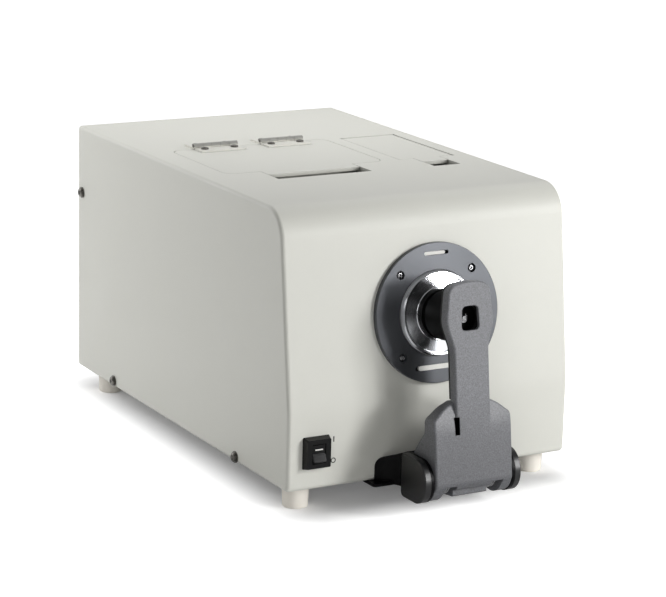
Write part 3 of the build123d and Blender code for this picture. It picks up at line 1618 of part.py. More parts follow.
with BuildPart() as rocker:
    with BuildSketch(Plane.YZ.offset(switch_x - rocker_width / 2)):
        with BuildLine():
            Polyline(
                rocker_point(-rocker_end * 0.7, rocker_end * 0.7),
                rocker_point(rocker_lip_out, rocker_end),
                rocker_point(rocker_valley_out, 0),
                rocker_point(rocker_lip_out, -rocker_end),
                rocker_point(-rocker_end * 0.7, -rocker_end * 0.7),
                close=True,
            )
        make_face()
    extrude(amount=rocker_width)
    chamfer(
        rocker.edges().filter_by(Axis.X).sort_by(Axis.Y)[:2], 0.5
    )
    with BuildSketch(Plane.YZ.offset(switch_x - rocker_width / 2 - gap - 1.6)):
        with Locations((rocker_y, switch_height)):
            Circle(rocker_pin_radius - running_gap)
    extrude(amount=rocker_width + 2 * gap + 3.2)
save(rocker.part, "rocker")
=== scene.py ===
"""Looks of a benchtop colorimeter: finishes, fine detail, studio and camera."""

import logging
import math
from dataclasses import dataclass, field
from enum import Enum
from typing import Callable, Sequence

import bmesh
import bpy
from mathutils import Matrix, Vector


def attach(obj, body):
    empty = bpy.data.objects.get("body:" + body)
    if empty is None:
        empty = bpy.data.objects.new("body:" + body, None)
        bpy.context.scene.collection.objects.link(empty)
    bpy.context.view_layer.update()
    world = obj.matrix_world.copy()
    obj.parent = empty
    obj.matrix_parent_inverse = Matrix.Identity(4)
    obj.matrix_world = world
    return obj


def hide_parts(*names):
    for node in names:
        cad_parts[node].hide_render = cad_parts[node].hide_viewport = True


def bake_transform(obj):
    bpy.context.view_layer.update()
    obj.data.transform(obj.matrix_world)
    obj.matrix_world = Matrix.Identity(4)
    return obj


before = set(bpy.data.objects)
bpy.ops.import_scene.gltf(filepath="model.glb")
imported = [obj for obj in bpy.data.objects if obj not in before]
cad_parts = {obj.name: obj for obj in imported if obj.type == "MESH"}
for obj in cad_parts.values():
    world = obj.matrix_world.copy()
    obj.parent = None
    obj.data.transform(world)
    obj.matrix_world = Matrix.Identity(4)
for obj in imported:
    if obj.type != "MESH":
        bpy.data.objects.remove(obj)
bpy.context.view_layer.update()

log = logging.getLogger("colorimeter")
logging.basicConfig(level=logging.INFO, format="%(name)s: %(message)s")

MM = 0.001

LEAN = math.radians(7.1)
FRONT_Y = -160.85 * MM
TOP_Z = 225.6 * MM
BEND_Z = 77.0 * MM
PORT_X = 4.6 * MM
PORT_Z = 140.0 * MM
PIVOT_OUT = 38.5 * MM
PIVOT_Z = 27.5 * MM

ACROSS = Vector((1.0, 0.0, 0.0))
OUT = Vector((0.0, -math.cos(LEAN), math.sin(LEAN)))
PORT = Vector((PORT_X, FRONT_Y + (PORT_Z - BEND_Z) * math.tan(LEAN), PORT_Z))
PIVOT = Vector((PORT_X, FRONT_Y - PIVOT_OUT, PIVOT_Z))

CORNERS = ((-1, -1), (1, -1), (1, 1), (-1, 1))
SHARP = math.radians(32)
WELD = 1e-7

Color = tuple[float, float, float]
Outline = Sequence[tuple[float, float]]
Mesh = bmesh.types.BMesh
Socket = bpy.types.NodeSocket


def srgb(red: int, green: int, blue: int) -> Color:
    """Turn 8-bit display values into linear ones.

    Args:
        red: red, 0 to 255.
        green: green, 0 to 255.
        blue: blue, 0 to 255.

    Returns:
        The linear colour.
    """
    def linear(value: int) -> float:
        """Return one channel, linear."""
        part = value / 255
        return part / 12.92 if part <= 0.04045 else ((part + 0.055) / 1.055) ** 2.4
    return (linear(red), linear(green), linear(blue))


def shade(color: Color, factor: float) -> Color:
    """Return the colour times the factor."""
    return (color[0] * factor, color[1] * factor, color[2] * factor)


class Body(Enum):
    """The rigid bodies that new pieces ride on."""

    HOUSING = "housing"
    CHAMBER_LID = "chamber_lid"
    HOLDER = "holder"
    PLUNGER = "plunger"
    ROCKER = "rocker"


class Slot(Enum):
    """Material slots of the record."""

    BRIGHT = "bright"
    COVER = "cover"
    BLACK = "black"
    MATTE = "black_matte"
    SPRING = "spring"


class Tree:
    """A node tree, with short ways to add nodes and join them."""

    def __init__(self, tree: bpy.types.NodeTree) -> None:
        """Empty the tree.

        Args:
            tree: the tree of a material or a world.
        """
        self.tree = tree
        tree.nodes.clear()

    def node(self, kind: str, **settings: object) -> bpy.types.Node:
        """Add a node.

        Args:
            kind: the node's type, after "ShaderNode".
            **settings: attributes to set on it.

        Returns:
            The node.
        """
        made = self.tree.nodes.new(f"ShaderNode{kind}")
        for key, value in settings.items():
            setattr(made, key, value)
        return made

    def feed(self, target: Socket, value: object) -> None:
        """Link an input to a socket, or set it where the value is a constant.

        Args:
            target: the input.
            value: a socket, a number, a vector or a colour.
        """
        if isinstance(value, Socket):
            self.tree.links.new(value, target)
        else:
            target.default_value = value

    def feed_all(self, node: bpy.types.Node, values: Sequence[object]) -> None:
        """Feed a node's first inputs in order."""
        for target, value in zip(node.inputs, values):
            self.feed(target, value)

    def math(self, operation: str, *values: object) -> Socket:
        """Work out a number.

        Args:
            operation: what is done.
            *values: the numbers, as sockets or constants.

        Returns:
            The result.
        """
        made = self.node("Math", operation=operation)
        self.feed_all(made, values)
        return made.outputs[0]

    def vector(self, operation: str, *values: object) -> Socket:
        """Work out a vector, or a length or product of vectors.

        Args:
            operation: what is done.
            *values: the vectors, as sockets or constants.

        Returns:
            The result.
        """
        made = self.node("VectorMath", operation=operation)
        self.feed_all(made, values)
        return made.outputs["Value" if operation in ("LENGTH", "DOT_PRODUCT") else "Vector"]

    def scaled(self, color: Socket, factor: Socket) -> Socket:
        """Multiply a colour by a number.

        Args:
            color: the colour.
            factor: the number.

        Returns:
            The new colour.
        """
        made = self.node("VectorMath", operation="SCALE")
        self.feed(made.inputs[0], color)
        self.feed(made.inputs["Scale"], factor)
        return made.outputs[0]

    def part(self, vector: Socket, axis: str) -> Socket:
        """Take a vector apart.

        Args:
            vector: the vector.
            axis: X, Y or Z.

        Returns:
            The coordinate along that axis.
        """
        made = self.node("SeparateXYZ")
        self.feed(made.inputs[0], vector)
        return made.outputs[axis]

    def ramp(self, value: Socket, source: tuple[float, float],
             target: tuple[float, float] = (0.0, 1.0), smooth: bool = False) -> Socket:
        """Map one range of a value to another, and hold it past the ends.

        Args:
            value: the value.
            source: the value's range, which may run downwards.
            target: what the ends of that range become.
            smooth: whether it eases in and out.

        Returns:
            The mapped value.
        """
        made = self.node("MapRange", interpolation_type="SMOOTHSTEP" if smooth else "LINEAR")
        names = ("From Min", "From Max", "To Min", "To Max")
        for name, number in zip(names, (*source, *target)):
            made.inputs[name].default_value = number
        self.feed(made.inputs["Value"], value)
        return made.outputs[0]

    def rays(self) -> tuple[Socket, Socket]:
        """Tell rays apart.

        Returns:
            Whether the ray is the camera's, and whether metal or glass sent it on.
        """
        path = self.node("LightPath").outputs
        mirrored = self.math("MAXIMUM", path["Is Glossy Ray"], path["Is Transmission Ray"])
        return path["Is Camera Ray"], mirrored


class Graph(Tree):
    """A material's node tree with one principled shader.

    Attributes:
        noise_middle: the range that most of a noise's values lie in.
        bevel_samples: rays that look for an edge.
    """

    noise_middle: tuple[float, float] = (0.3, 0.7)
    bevel_samples: int = 6

    def __init__(self, name: str) -> None:
        """Make the material and its shader.

        Args:
            name: the material's name.
        """
        self.material = bpy.data.materials.new(name)
        self.material.use_nodes = True
        super().__init__(self.material.node_tree)
        self.shader = self.node("BsdfPrincipled")
        self.surface = self.node("OutputMaterial").inputs["Surface"]
        self.feed(self.surface, self.shader.outputs[0])
        self.place = self.node("TexCoord").outputs["Object"]

    def set(self, **values: object) -> None:
        """Set or link the shader's own sockets.

        Args:
            **values: what each socket gets, with underscores for the spaces of its name.
        """
        for key, value in values.items():
            constant = (*value, 1.0) if isinstance(value, tuple) else value
            self.feed(self.shader.inputs[key.replace("_", " ")], constant)

    def noise(self, scale: float, detail: float = 3.0, stretch: Vector | None = None) -> Socket:
        """Add noise in the piece's own space.

        Args:
            scale: features per metre.
            detail: octaves.
            stretch: factors along the axes, if the noise is drawn out.

        Returns:
            The noise's value, about 0.5.
        """
        made = self.node("TexNoise")
        made.inputs["Scale"].default_value = scale
        made.inputs["Detail"].default_value = detail
        source = self.place
        if stretch is not None:
            mapping = self.node("Mapping")
            mapping.inputs["Scale"].default_value = stretch
            self.feed(mapping.inputs["Vector"], self.place)
            source = mapping.outputs[0]
        self.feed(made.inputs["Vector"], source)
        return made.outputs[0]

    def spread(self, noise: Socket, low: float, high: float) -> Socket:
        """Map the middle of a noise to a range."""
        return self.ramp(noise, self.noise_middle, (low, high))

    def blend(self, factor: Socket, first: Color, second: Color) -> Socket:
        """Mix two colours.

        Args:
            factor: how much of the second colour there is.
            first: the first colour.
            second: the second colour.

        Returns:
            The mixed colour.
        """
        made = self.node("Mix", data_type="RGBA")
        self.feed(made.inputs["Factor"], factor)
        made.inputs["A"].default_value = (*first, 1.0)
        made.inputs["B"].default_value = (*second, 1.0)
        return next(socket for socket in made.outputs if socket.type == "RGBA")

    def edge(self, radius: float) -> Socket:
        """Round sharp edges.

        Args:
            radius: the rounding's radius.

        Returns:
            The rounded normal.
        """
        made = self.node("Bevel", samples=self.bevel_samples)
        made.inputs["Radius"].default_value = radius
        return made.outputs[0]

    def bump(self, height: Socket, depth: float, normal: Socket | None = None) -> Socket:
        """Add a bump.

        Args:
            height: the height field.
            depth: metres that a height of one stands for.
            normal: a normal to start from.

        Returns:
            The new normal.
        """
        made = self.node("Bump")
        made.inputs["Strength"].default_value = 1.0
        made.inputs["Distance"].default_value = depth
        self.feed(made.inputs["Height"], height)
        if normal is not None:
            self.feed(made.inputs["Normal"], normal)
        return made.outputs[0]


@dataclass(frozen=True)
class HeightToneAndShade:
    """A change of tone with height: painted shade down the arm; on hinge barrels, bare metal and
    painted shade.

    Attributes:
        dark: height at and beyond which the tone is full.
        plain: height at and beyond which the colour is its own.
        tone: what the colour is multiplied by where it is darkest.
    """

    dark: float
    plain: float
    tone: float

    def apply(self, graph: Graph, color: Socket) -> Socket:
        """Change a colour's tone with the height, as painted shade.

        Args:
            graph: the material.
            color: the colour.

        Returns:
            The new colour.
        """
        height = graph.part(graph.place, "Z")
        return graph.scaled(
            color, graph.ramp(height, (self.dark, self.plain), (self.tone, 1.0), smooth=True))


@dataclass(frozen=True)
class RecessShade:
    """Painted shade: a darker tone in recesses.

    Attributes:
        reach: how far a recess's walls count.
        tone: what the colour is multiplied by in the deepest recess.
        alone: whether only the piece's own walls count.
        openness: how open a place is where the tone is full, and where the colour is its own.
        samples: rays that look for walls.
    """

    reach: float
    tone: float
    alone: bool
    openness: tuple[float, float] = (0.45, 0.98)
    samples: int = 8

    def apply(self, graph: Graph, color: Socket) -> Socket:
        """Darken a colour in recesses: painted shade.

        Args:
            graph: the material.
            color: the colour.

        Returns:
            The new colour.
        """
        shelter = graph.node("AmbientOcclusion", samples=self.samples, only_local=self.alone)
        shelter.inputs["Distance"].default_value = self.reach
        return graph.scaled(
            color, graph.ramp(shelter.outputs["AO"], self.openness, (self.tone, 1.0)))


class Coating:
    """What a surface is finished with."""

    def paint(self, graph: Graph) -> None:
        """Give a material this finish."""
        raise NotImplementedError

    def build(self, name: str) -> bpy.types.Material:
        """Make a material of this finish.

        Args:
            name: the material's name.

        Returns:
            The material.
        """
        graph = Graph(name)
        self.paint(graph)
        return graph.material


@dataclass(frozen=True)
class Grained(Coating):
    """A moulded, painted or cast surface with grain, mottling and softened edges.

    Attributes:
        grain: grains per metre, about.
        depth: how deep the grain is.
        speckle: share of the tone by which the grain changes it.
        mottle: share of the tone by which broad patches change it.
        patches: how far the roughness wanders.
        level: strength of the reflection that isn't metal's.
    """

    color: Color
    roughness: float = 0.5
    grain: float = 2200.0
    depth: float = 0.02 * MM
    speckle: float = 0.03
    mottle: float = 0.03
    mottle_scale: float = 25.0
    patches: float = 0.04
    metallic: float = 0.0
    edge: float = 0.4 * MM
    level: float = 0.5
    # Painted shade by height, where a finish has it.
    height_tone_and_shade: HeightToneAndShade | None = None
    # Painted shade in recesses, where a finish has it.
    painted_recess_shade: RecessShade | None = None

    def paint(self, graph: Graph) -> None:
        """Give a material this finish.

        Args:
            graph: the material.
        """
        broad = graph.noise(self.mottle_scale)
        fine = graph.noise(self.grain)
        tone = graph.math("ADD", graph.spread(broad, -self.mottle, self.mottle),
                          graph.spread(fine, -self.speckle, self.speckle))
        # Halfway from half the colour to one and a half times it is the plain colour.
        color = graph.blend(
            graph.math("ADD", tone, 0.5), shade(self.color, 0.5), shade(self.color, 1.5))
        # Paint shade in: by height, and in recesses.
        for change in (self.height_tone_and_shade, self.painted_recess_shade):
            if change is not None:
                color = change.apply(graph, color)
        rough = graph.spread(broad, self.roughness - self.patches, self.roughness + self.patches)
        graph.set(Base_Color=color, Roughness=rough, Metallic=self.metallic,
                  Specular_IOR_Level=self.level,
                  Normal=graph.bump(fine, self.depth, graph.edge(self.edge)))


@dataclass(frozen=True)
class Brushed(Coating):
    """A metal surface with fine lines along one axis, slightly stained.

    Attributes:
        streaks: share of the roughness by which the lines change it.
        lines: factors of the noise along the axes, small along the lines.
        stain: what the colour is multiplied by where it is stained.
    """

    color: Color
    roughness: float = 0.25
    streaks: float = 0.25
    lines: Vector = field(default_factory=lambda: Vector((0.02, 1.0, 1.0)))
    scale: float = 3000.0
    detail: float = 2.0
    depth: float = 0.004 * MM
    edge: float = 0.15 * MM
    anisotropy: float = 0.4
    stain: float = 0.92
    stain_scale: float = 60.0

    def paint(self, graph: Graph) -> None:
        """Give a material this finish.

        Args:
            graph: the material.
        """
        lines = graph.noise(self.scale, self.detail, self.lines)
        stain = graph.spread(graph.noise(self.stain_scale), 0.0, 1.0)
        rough = graph.spread(
            lines, self.roughness * (1 - self.streaks), self.roughness * (1 + self.streaks))
        graph.set(Base_Color=graph.blend(stain, shade(self.color, self.stain), self.color),
                  Roughness=rough, Metallic=1.0, Anisotropic=self.anisotropy,
                  Normal=graph.bump(lines, self.depth, graph.edge(self.edge)))


@dataclass(frozen=True)
class Turned(Coating):
    """Metal faces turned on a lathe, with rings about an axis, and walls left duller.

    Attributes:
        wall_metal: how metallic the walls are.
        facing: how far a face looks along the axis where the turned finish ends, and where
            the wall's begins.
        rings: rings per metre of radius, about.
        ring_tone: what the colour is multiplied by in the darkest ring.
    """

    color: Color
    centre: Vector
    axis: Vector
    roughness: float = 0.22
    anisotropy: float = 0.85
    wall_roughness: float = 0.5
    wall_metal: float = 0.0
    facing: tuple[float, float] = (0.3, 0.2)
    rings: float = 9000.0
    detail: float = 2.0
    ring_tone: float = 0.94
    depth: float = 0.002 * MM

    def paint(self, graph: Graph) -> None:
        """Give a material this finish.

        Args:
            graph: the material.
        """
        geometry = graph.node("NewGeometry").outputs
        offset = graph.vector("SUBTRACT", geometry["Position"], self.centre)
        around = graph.vector("CROSS_PRODUCT", offset, self.axis)
        outward = graph.vector("CROSS_PRODUCT", self.axis, around)
        wall = graph.ramp(
            graph.vector("DOT_PRODUCT", geometry["Normal"], self.axis), self.facing)
        rings = graph.node("TexNoise", noise_dimensions="1D")
        rings.inputs["Scale"].default_value = self.rings
        rings.inputs["Detail"].default_value = self.detail
        graph.feed(rings.inputs["W"], graph.vector("LENGTH", around))
        tone = graph.spread(rings.outputs[0], 0.0, 1.0)
        whole = (0.0, 1.0)
        graph.set(Base_Color=graph.blend(tone, shade(self.color, self.ring_tone), self.color),
                  Roughness=graph.ramp(wall, whole, (self.roughness, self.wall_roughness)),
                  Metallic=graph.ramp(wall, whole, (1.0, self.wall_metal)),
                  Tangent=graph.vector("NORMALIZE", outward),
                  Normal=graph.bump(rings.outputs[0], self.depth),
                  Anisotropic=self.anisotropy)


@dataclass(frozen=True)
class Clear(Coating):
    """Glass with faint smears.

    Attributes:
        smear: what the roughness is multiplied by in the worst smear.
    """

    color: Color
    roughness: float = 0.03
    smear: float = 3.0
    smear_scale: float = 90.0
    ior: float = 1.5

    def paint(self, graph: Graph) -> None:
        """Give a material this finish.

        Args:
            graph: the material.
        """
        smears = graph.noise(self.smear_scale)
        graph.set(Base_Color=self.color, Transmission_Weight=1.0, IOR=self.ior,
                  Roughness=graph.spread(smears, self.roughness, self.roughness * self.smear))


@dataclass(frozen=True)
class Laminate(Coating):
    """A circuit board's solder mask over a grid of tracks.

    Attributes:
        cell: size that the grid repeats at.
        track_width: share of a cell that a track takes.
        tone: what the colour is multiplied by in every other field.
        varnish: strength of the clear coat.
    """

    color: Color
    track: Color
    cell: float = 10.16 * MM
    track_width: float = 0.04
    tone: float = 0.8
    depth: float = 0.05 * MM
    roughness: float = 0.35
    varnish: float = 0.3
    varnish_roughness: float = 0.1

    def paint(self, graph: Graph) -> None:
        """Give a material this finish.

        Args:
            graph: the material.
        """
        brick = graph.node("TexBrick")
        brick.inputs["Scale"].default_value = 1 / self.cell
        brick.inputs["Mortar Size"].default_value = self.track_width
        brick.inputs["Color1"].default_value = (*self.color, 1.0)
        brick.inputs["Color2"].default_value = (*shade(self.color, self.tone), 1.0)
        brick.inputs["Mortar"].default_value = (*self.track, 1.0)
        graph.feed(brick.inputs["Vector"], graph.place)
        graph.set(Base_Color=brick.outputs["Color"], Roughness=self.roughness,
                  Normal=graph.bump(brick.outputs["Fac"], self.depth),
                  Coat_Weight=self.varnish, Coat_Roughness=self.varnish_roughness)


class Finish(Enum):
    """Every finish on the object."""

    # The cover's colour darkens in its recesses: painted shade.
    COVER = Grained(srgb(222, 222, 214), roughness=0.46, depth=0.03 * MM, speckle=0.012,
                    mottle=0.008, edge=0.5 * MM, level=0.4, painted_recess_shade=RecessShade(16.0 * MM, 0.25, True))
    # The lids' colour darkens in recesses and beside other parts: painted shade.
    LID = Grained(srgb(221, 221, 213), roughness=0.46, depth=0.03 * MM, speckle=0.012,
                  mottle=0.008, edge=0.25 * MM, level=0.4, painted_recess_shade=RecessShade(10.0 * MM, 0.35, False))
    FOOT = Grained(srgb(251, 246, 236), roughness=0.6, depth=0.01 * MM, speckle=0.01,
                   mottle=0.02, edge=0.5 * MM)
    SHEET = Grained(srgb(178, 178, 174), roughness=0.45, depth=0.01 * MM, speckle=0.02,
                    edge=0.3 * MM)
    DISC = Grained(srgb(85, 87, 91), roughness=0.36, grain=3000.0, depth=0.006 * MM,
                   mottle=0.02, metallic=0.6, edge=0.3 * MM, level=0.6)
    # The arm's colour darkens towards its foot: painted shade.
    CAST = Grained(srgb(118, 119, 123), roughness=0.45, grain=1100.0, depth=0.08 * MM,
                   speckle=0.28, edge=0.8 * MM, level=0.6, height_tone_and_shade=HeightToneAndShade(35.0 * MM, 105.0 * MM, 0.74))
    CAP = Grained(srgb(8, 8, 10), roughness=0.34, grain=2500.0, depth=0.008 * MM,
                  speckle=0.04, edge=0.7 * MM, level=0.8)
    BASE = Grained(srgb(7, 7, 8), roughness=0.35, depth=0.004 * MM, level=0.12)
    GLOSS = Grained(srgb(11, 11, 12), roughness=0.16, depth=0.002 * MM, level=0.3)
    PAD = Grained(srgb(5, 5, 5), depth=0.01 * MM, speckle=0.04, edge=0.3 * MM, level=0.12)
    MATTE = Grained(srgb(28, 28, 28), roughness=0.6, speckle=0.05, edge=0.3 * MM)
    WHITE_COAT = Grained(srgb(244, 243, 238), roughness=0.85, depth=0.03 * MM, speckle=0.01)
    SEAL = Grained(srgb(22, 22, 22), roughness=0.9, grain=1800.0, depth=0.1 * MM,
                   speckle=0.2, edge=0.3 * MM)
    INK = Grained(srgb(24, 24, 24), depth=0.002 * MM, speckle=0.05)
    # The hinge barrels, above the leaves, are darker: partly bare metal, partly painted shade.
    LEAF = Grained(srgb(224, 223, 215), roughness=0.42, depth=0.01 * MM, speckle=0.02,
                   mottle=0.01, edge=0.2 * MM, level=0.4,
                   height_tone_and_shade=HeightToneAndShade(TOP_Z + 2.3 * MM, TOP_Z + 1.9 * MM, 0.4))
    BRIGHT = Brushed(srgb(226, 226, 228), roughness=0.16, anisotropy=0.2)
    ZINC = Brushed(srgb(196, 196, 196), roughness=0.3)
    DULL = Brushed(srgb(96, 94, 90), roughness=0.32, anisotropy=0.0)
    BLUED = Brushed(srgb(104, 102, 98), roughness=0.3, anisotropy=0.0)
    STEEL = Brushed(srgb(150, 150, 152), roughness=0.22)
    SPRING = Brushed(srgb(170, 170, 172))
    MASK = Turned(srgb(226, 228, 232), PORT, OUT)
    GLASS = Clear(srgb(236, 242, 244))
    BOARD = Laminate(srgb(24, 84, 48), srgb(52, 118, 70))

    def material(self) -> bpy.types.Material:
        """Return the finish's material, made once."""
        name = f"finish_{self.name.lower()}"
        return bpy.data.materials.get(name) or self.value.build(name)


def linked(name: str, data: bpy.types.ID) -> bpy.types.Object:
    """Put data into the scene.

    Args:
        name: the object's name.
        data: a mesh, a light or a camera.

    Returns:
        The object.
    """
    made = bpy.data.objects.new(name, data)
    bpy.context.scene.collection.objects.link(made)
    return made


def settled(name: str, mesh: Mesh) -> bpy.types.Mesh:
    """Turn a working mesh into mesh data.

    Args:
        name: the data's name.
        mesh: the working mesh, freed here.

    Returns:
        The mesh data.
    """
    data = bpy.data.meshes.new(name)
    mesh.to_mesh(data)
    mesh.free()
    return data


def dress(finish: Finish, *nodes: str) -> None:
    """Give CAD nodes a finish.

    Args:
        finish: the finish.
        *nodes: names of the nodes.
    """
    for node in nodes:
        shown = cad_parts[node]
        shown.data.materials.clear()
        shown.data.materials.append(finish.material())
        log.info("%s: %s", node, finish.name.lower())


def piece(name: str, mesh: Mesh, finish: Finish, body: Body,
          smooth: bool = True) -> bpy.types.Object:
    """Make a piece that rides on a body.

    Args:
        name: the piece's name.
        mesh: its shape, freed here.
        finish: its finish.
        body: what it rides on.
        smooth: whether faces below the sharp angle are shaded smooth.

    Returns:
        The piece.
    """
    bmesh.ops.recalc_face_normals(mesh, faces=mesh.faces[:])
    data = settled(name, mesh)
    data.materials.append(finish.material())
    made = linked(name, data)
    if smooth:
        data.shade_smooth()
        data.set_sharp_from_angle(angle=SHARP)
    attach(made, body.value)
    log.info("%s: %d faces on %s", name, len(data.polygons), body.value)
    return made


def basis(origin: Vector, across: Vector, out: Vector) -> Matrix:
    """Return a frame at origin with x across and z out.

    Args:
        origin: the frame's origin.
        across: its x axis.
        out: its z axis.

    Returns:
        The frame as a matrix.
    """
    side = out.cross(across)
    return Matrix((
        (across.x, side.x, out.x, origin.x),
        (across.y, side.y, out.y, origin.y),
        (across.z, side.z, out.z, origin.z),
        (0.0, 0.0, 0.0, 1.0),
    ))


def put(mesh: Mesh, place: Matrix) -> Mesh:
    """Move a whole working mesh into a frame.

    Args:
        mesh: the working mesh.
        place: the frame.

    Returns:
        The same mesh.
    """
    bmesh.ops.transform(mesh, matrix=place, verts=mesh.verts[:])
    return mesh


def join_rings(mesh: Mesh, low: Sequence[bmesh.types.BMVert],
               high: Sequence[bmesh.types.BMVert]) -> None:
    """Close the band between two rings of as many points.

    Args:
        mesh: the working mesh.
        low: the first ring.
        high: the second ring.
    """
    for number in range(len(low)):
        after = (number + 1) % len(low)
        mesh.faces.new((low[number], low[after], high[after], high[number]))


def add_solid(mesh: Mesh, outlines: Sequence[Sequence[Sequence[float]]]) -> None:
    """Add a solid that runs through outlines in order, closed by the first and the last.

    Args:
        mesh: the working mesh.
        outlines: outlines in space, of as many points.
    """
    rings = [[mesh.verts.new(point) for point in outline] for outline in outlines]
    for low, high in zip(rings, rings[1:]):
        join_rings(mesh, low, high)
    mesh.faces.new(rings[0][::-1])
    mesh.faces.new(rings[-1])


def lathe(profile: Outline, steps: int) -> Mesh:
    """Turn a closed profile of radius and height about the z axis.

    Args:
        profile: points of radius and height, in metres.
        steps: divisions of the turn.

    Returns:
        The turned shape.
    """
    mesh = bmesh.new()
    turns = [math.tau * step / steps for step in range(steps)]
    rings = [
        [mesh.verts.new((radius * math.cos(turn), radius * math.sin(turn), height))
         for turn in turns]
        for radius, height in profile
    ]
    for low, high in zip(rings, rings[1:] + rings[:1]):
        join_rings(mesh, low, high)
    bmesh.ops.remove_doubles(mesh, verts=mesh.verts[:], dist=WELD)
    return mesh


def merged(shape: Callable[[], Mesh], places: Sequence[Matrix]) -> Mesh:
    """Copy a shape to several places in one mesh.

    Args:
        shape: makes the shape about its own origin.
        places: where each copy goes.

    Returns:
        All copies together.
    """
    data = settled("template", shape())
    whole = bmesh.new()
    for place in places:
        start = len(whole.verts)
        whole.from_mesh(data)
        whole.verts.ensure_lookup_table()
        bmesh.ops.transform(whole, matrix=place, verts=whole.verts[start:])
    bpy.data.meshes.remove(data)
    return whole


@dataclass
class CrossHead:
    """A pan head with a cross recess.

    Attributes:
        wall: share of the height that is upright.
        dome: share of the height that the bend rises.
        bend: share of the radius that the bend takes.
        slot_width: half the width of the cross's arms, to the radius.
        slot_reach: half the length of the cross's arms, to the radius.
        slot_depth: depth of the cross, to the height.
        slot_foot: size of the cross at its floor, to its size above the head.
        slot_top: how high the cross starts, to the height.
    """

    radius: float
    height: float
    steps: int = 48
    wall: float = 0.35
    dome: float = 0.6
    bend: float = 0.38
    bend_steps: int = 6
    slot_width: float = 0.22
    slot_reach: float = 0.62
    slot_depth: float = 0.6
    slot_foot: float = 0.55
    slot_top: float = 1.5

    def blank(self) -> Mesh:
        """Make the head without its recess.

        Returns:
            The plain head.
        """
        profile = [(0.0, 0.0), (self.radius, 0.0), (self.radius, self.height * self.wall)]
        for step in range(1, self.bend_steps + 1):
            turn = math.pi / 2 * step / self.bend_steps
            profile.append((
                self.radius * (1 - self.bend + self.bend * math.cos(turn)),
                self.height * (self.wall + self.dome * math.sin(turn)),
            ))
        profile.append((0.0, self.height))
        return lathe(profile, self.steps)

    def cross(self) -> Mesh:
        """Make the cross that is cut out.

        Returns:
            The cross, which tapers downwards.
        """
        half, reach = self.radius * self.slot_width, self.radius * self.slot_reach
        outline = (
            (half, half), (half, reach), (-half, reach), (-half, half), (-reach, half),
            (-reach, -half), (-half, -half), (-half, -reach), (half, -reach), (half, -half),
            (reach, -half), (reach, half),
        )
        floor = self.height * (1 - self.slot_depth)
        mesh = bmesh.new()
        add_solid(mesh, (
            [(x * self.slot_foot, y * self.slot_foot, floor) for x, y in outline],
            [(x, y, self.height * self.slot_top) for x, y in outline],
        ))
        return mesh

    def shape(self) -> Mesh:
        """Cut the recess into the head.

        Returns:
            The finished head.
        """
        solids = []
        for name, mesh in (("head", self.blank()), ("cross", self.cross())):
            bmesh.ops.recalc_face_normals(mesh, faces=mesh.faces[:])
            solids.append(linked(name, settled(name, mesh)))
        head, cross = solids
        cut = head.modifiers.new("cut", "BOOLEAN")
        cut.operation = "DIFFERENCE"
        cut.object = cross
        bpy.context.view_layer.update()
        result = bmesh.new()
        result.from_object(head, bpy.context.evaluated_depsgraph_get())
        for solid in solids:
            data = solid.data
            bpy.data.objects.remove(solid)
            bpy.data.meshes.remove(data)
        return result


class SubAssembly:
    """A group of nodes that belong together."""

    def finish(self) -> None:
        """Dress the CAD nodes."""

    def build(self) -> None:
        """Build what is finer than the CAD nodes, where there is any."""


@dataclass
class Housing(SubAssembly):
    """Cover, feet, base and rear panel, with the screws in the cover's sides.

    Attributes:
        screws: distance behind the front and height of each screw, in millimetres.
        first_turn: what the distance is added to for the turn of each cross, in radians.
    """

    half_width: float = 122.0 * MM
    washer: float = 0.8 * MM
    head: CrossHead = field(default_factory=lambda: CrossHead(3.7 * MM, 2.2 * MM))
    screws: tuple[tuple[float, float], ...] = ((371.0, 170.0), (305.6, 22.7), (83.1, 21.6))
    first_turn: float = 0.5

    def finish(self) -> None:
        """Dress the CAD nodes."""
        dress(Finish.COVER, "cover_shell")
        dress(Finish.FOOT, "feet")
        dress(Finish.SHEET, "base_plate", "rear_panel")
        dress(Finish.ZINC, "foot_screws", "rear_screws", "bracket_screws")
        dress(Finish.BLUED, "cover_washers")
        dress(Finish.MATTE, "dc_inlet", "data_socket")

    def build(self) -> None:
        """Build the recessed heads of the side screws."""
        places = []
        for side in (-1, 1):
            for distance, height in self.screws:
                origin = Vector((side * (self.half_width + self.washer),
                                 FRONT_Y + distance * MM, height * MM))
                seat = basis(origin, Vector((0.0, 1.0, 0.0)), ACROSS * side)
                places.append(seat @ Matrix.Rotation(self.first_turn + distance, 4, "Z"))
        heads = piece("side_screw_heads", merged(self.head.shape, places), Finish.BLUED,
                      Body.HOUSING)
        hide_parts("cover_screws")


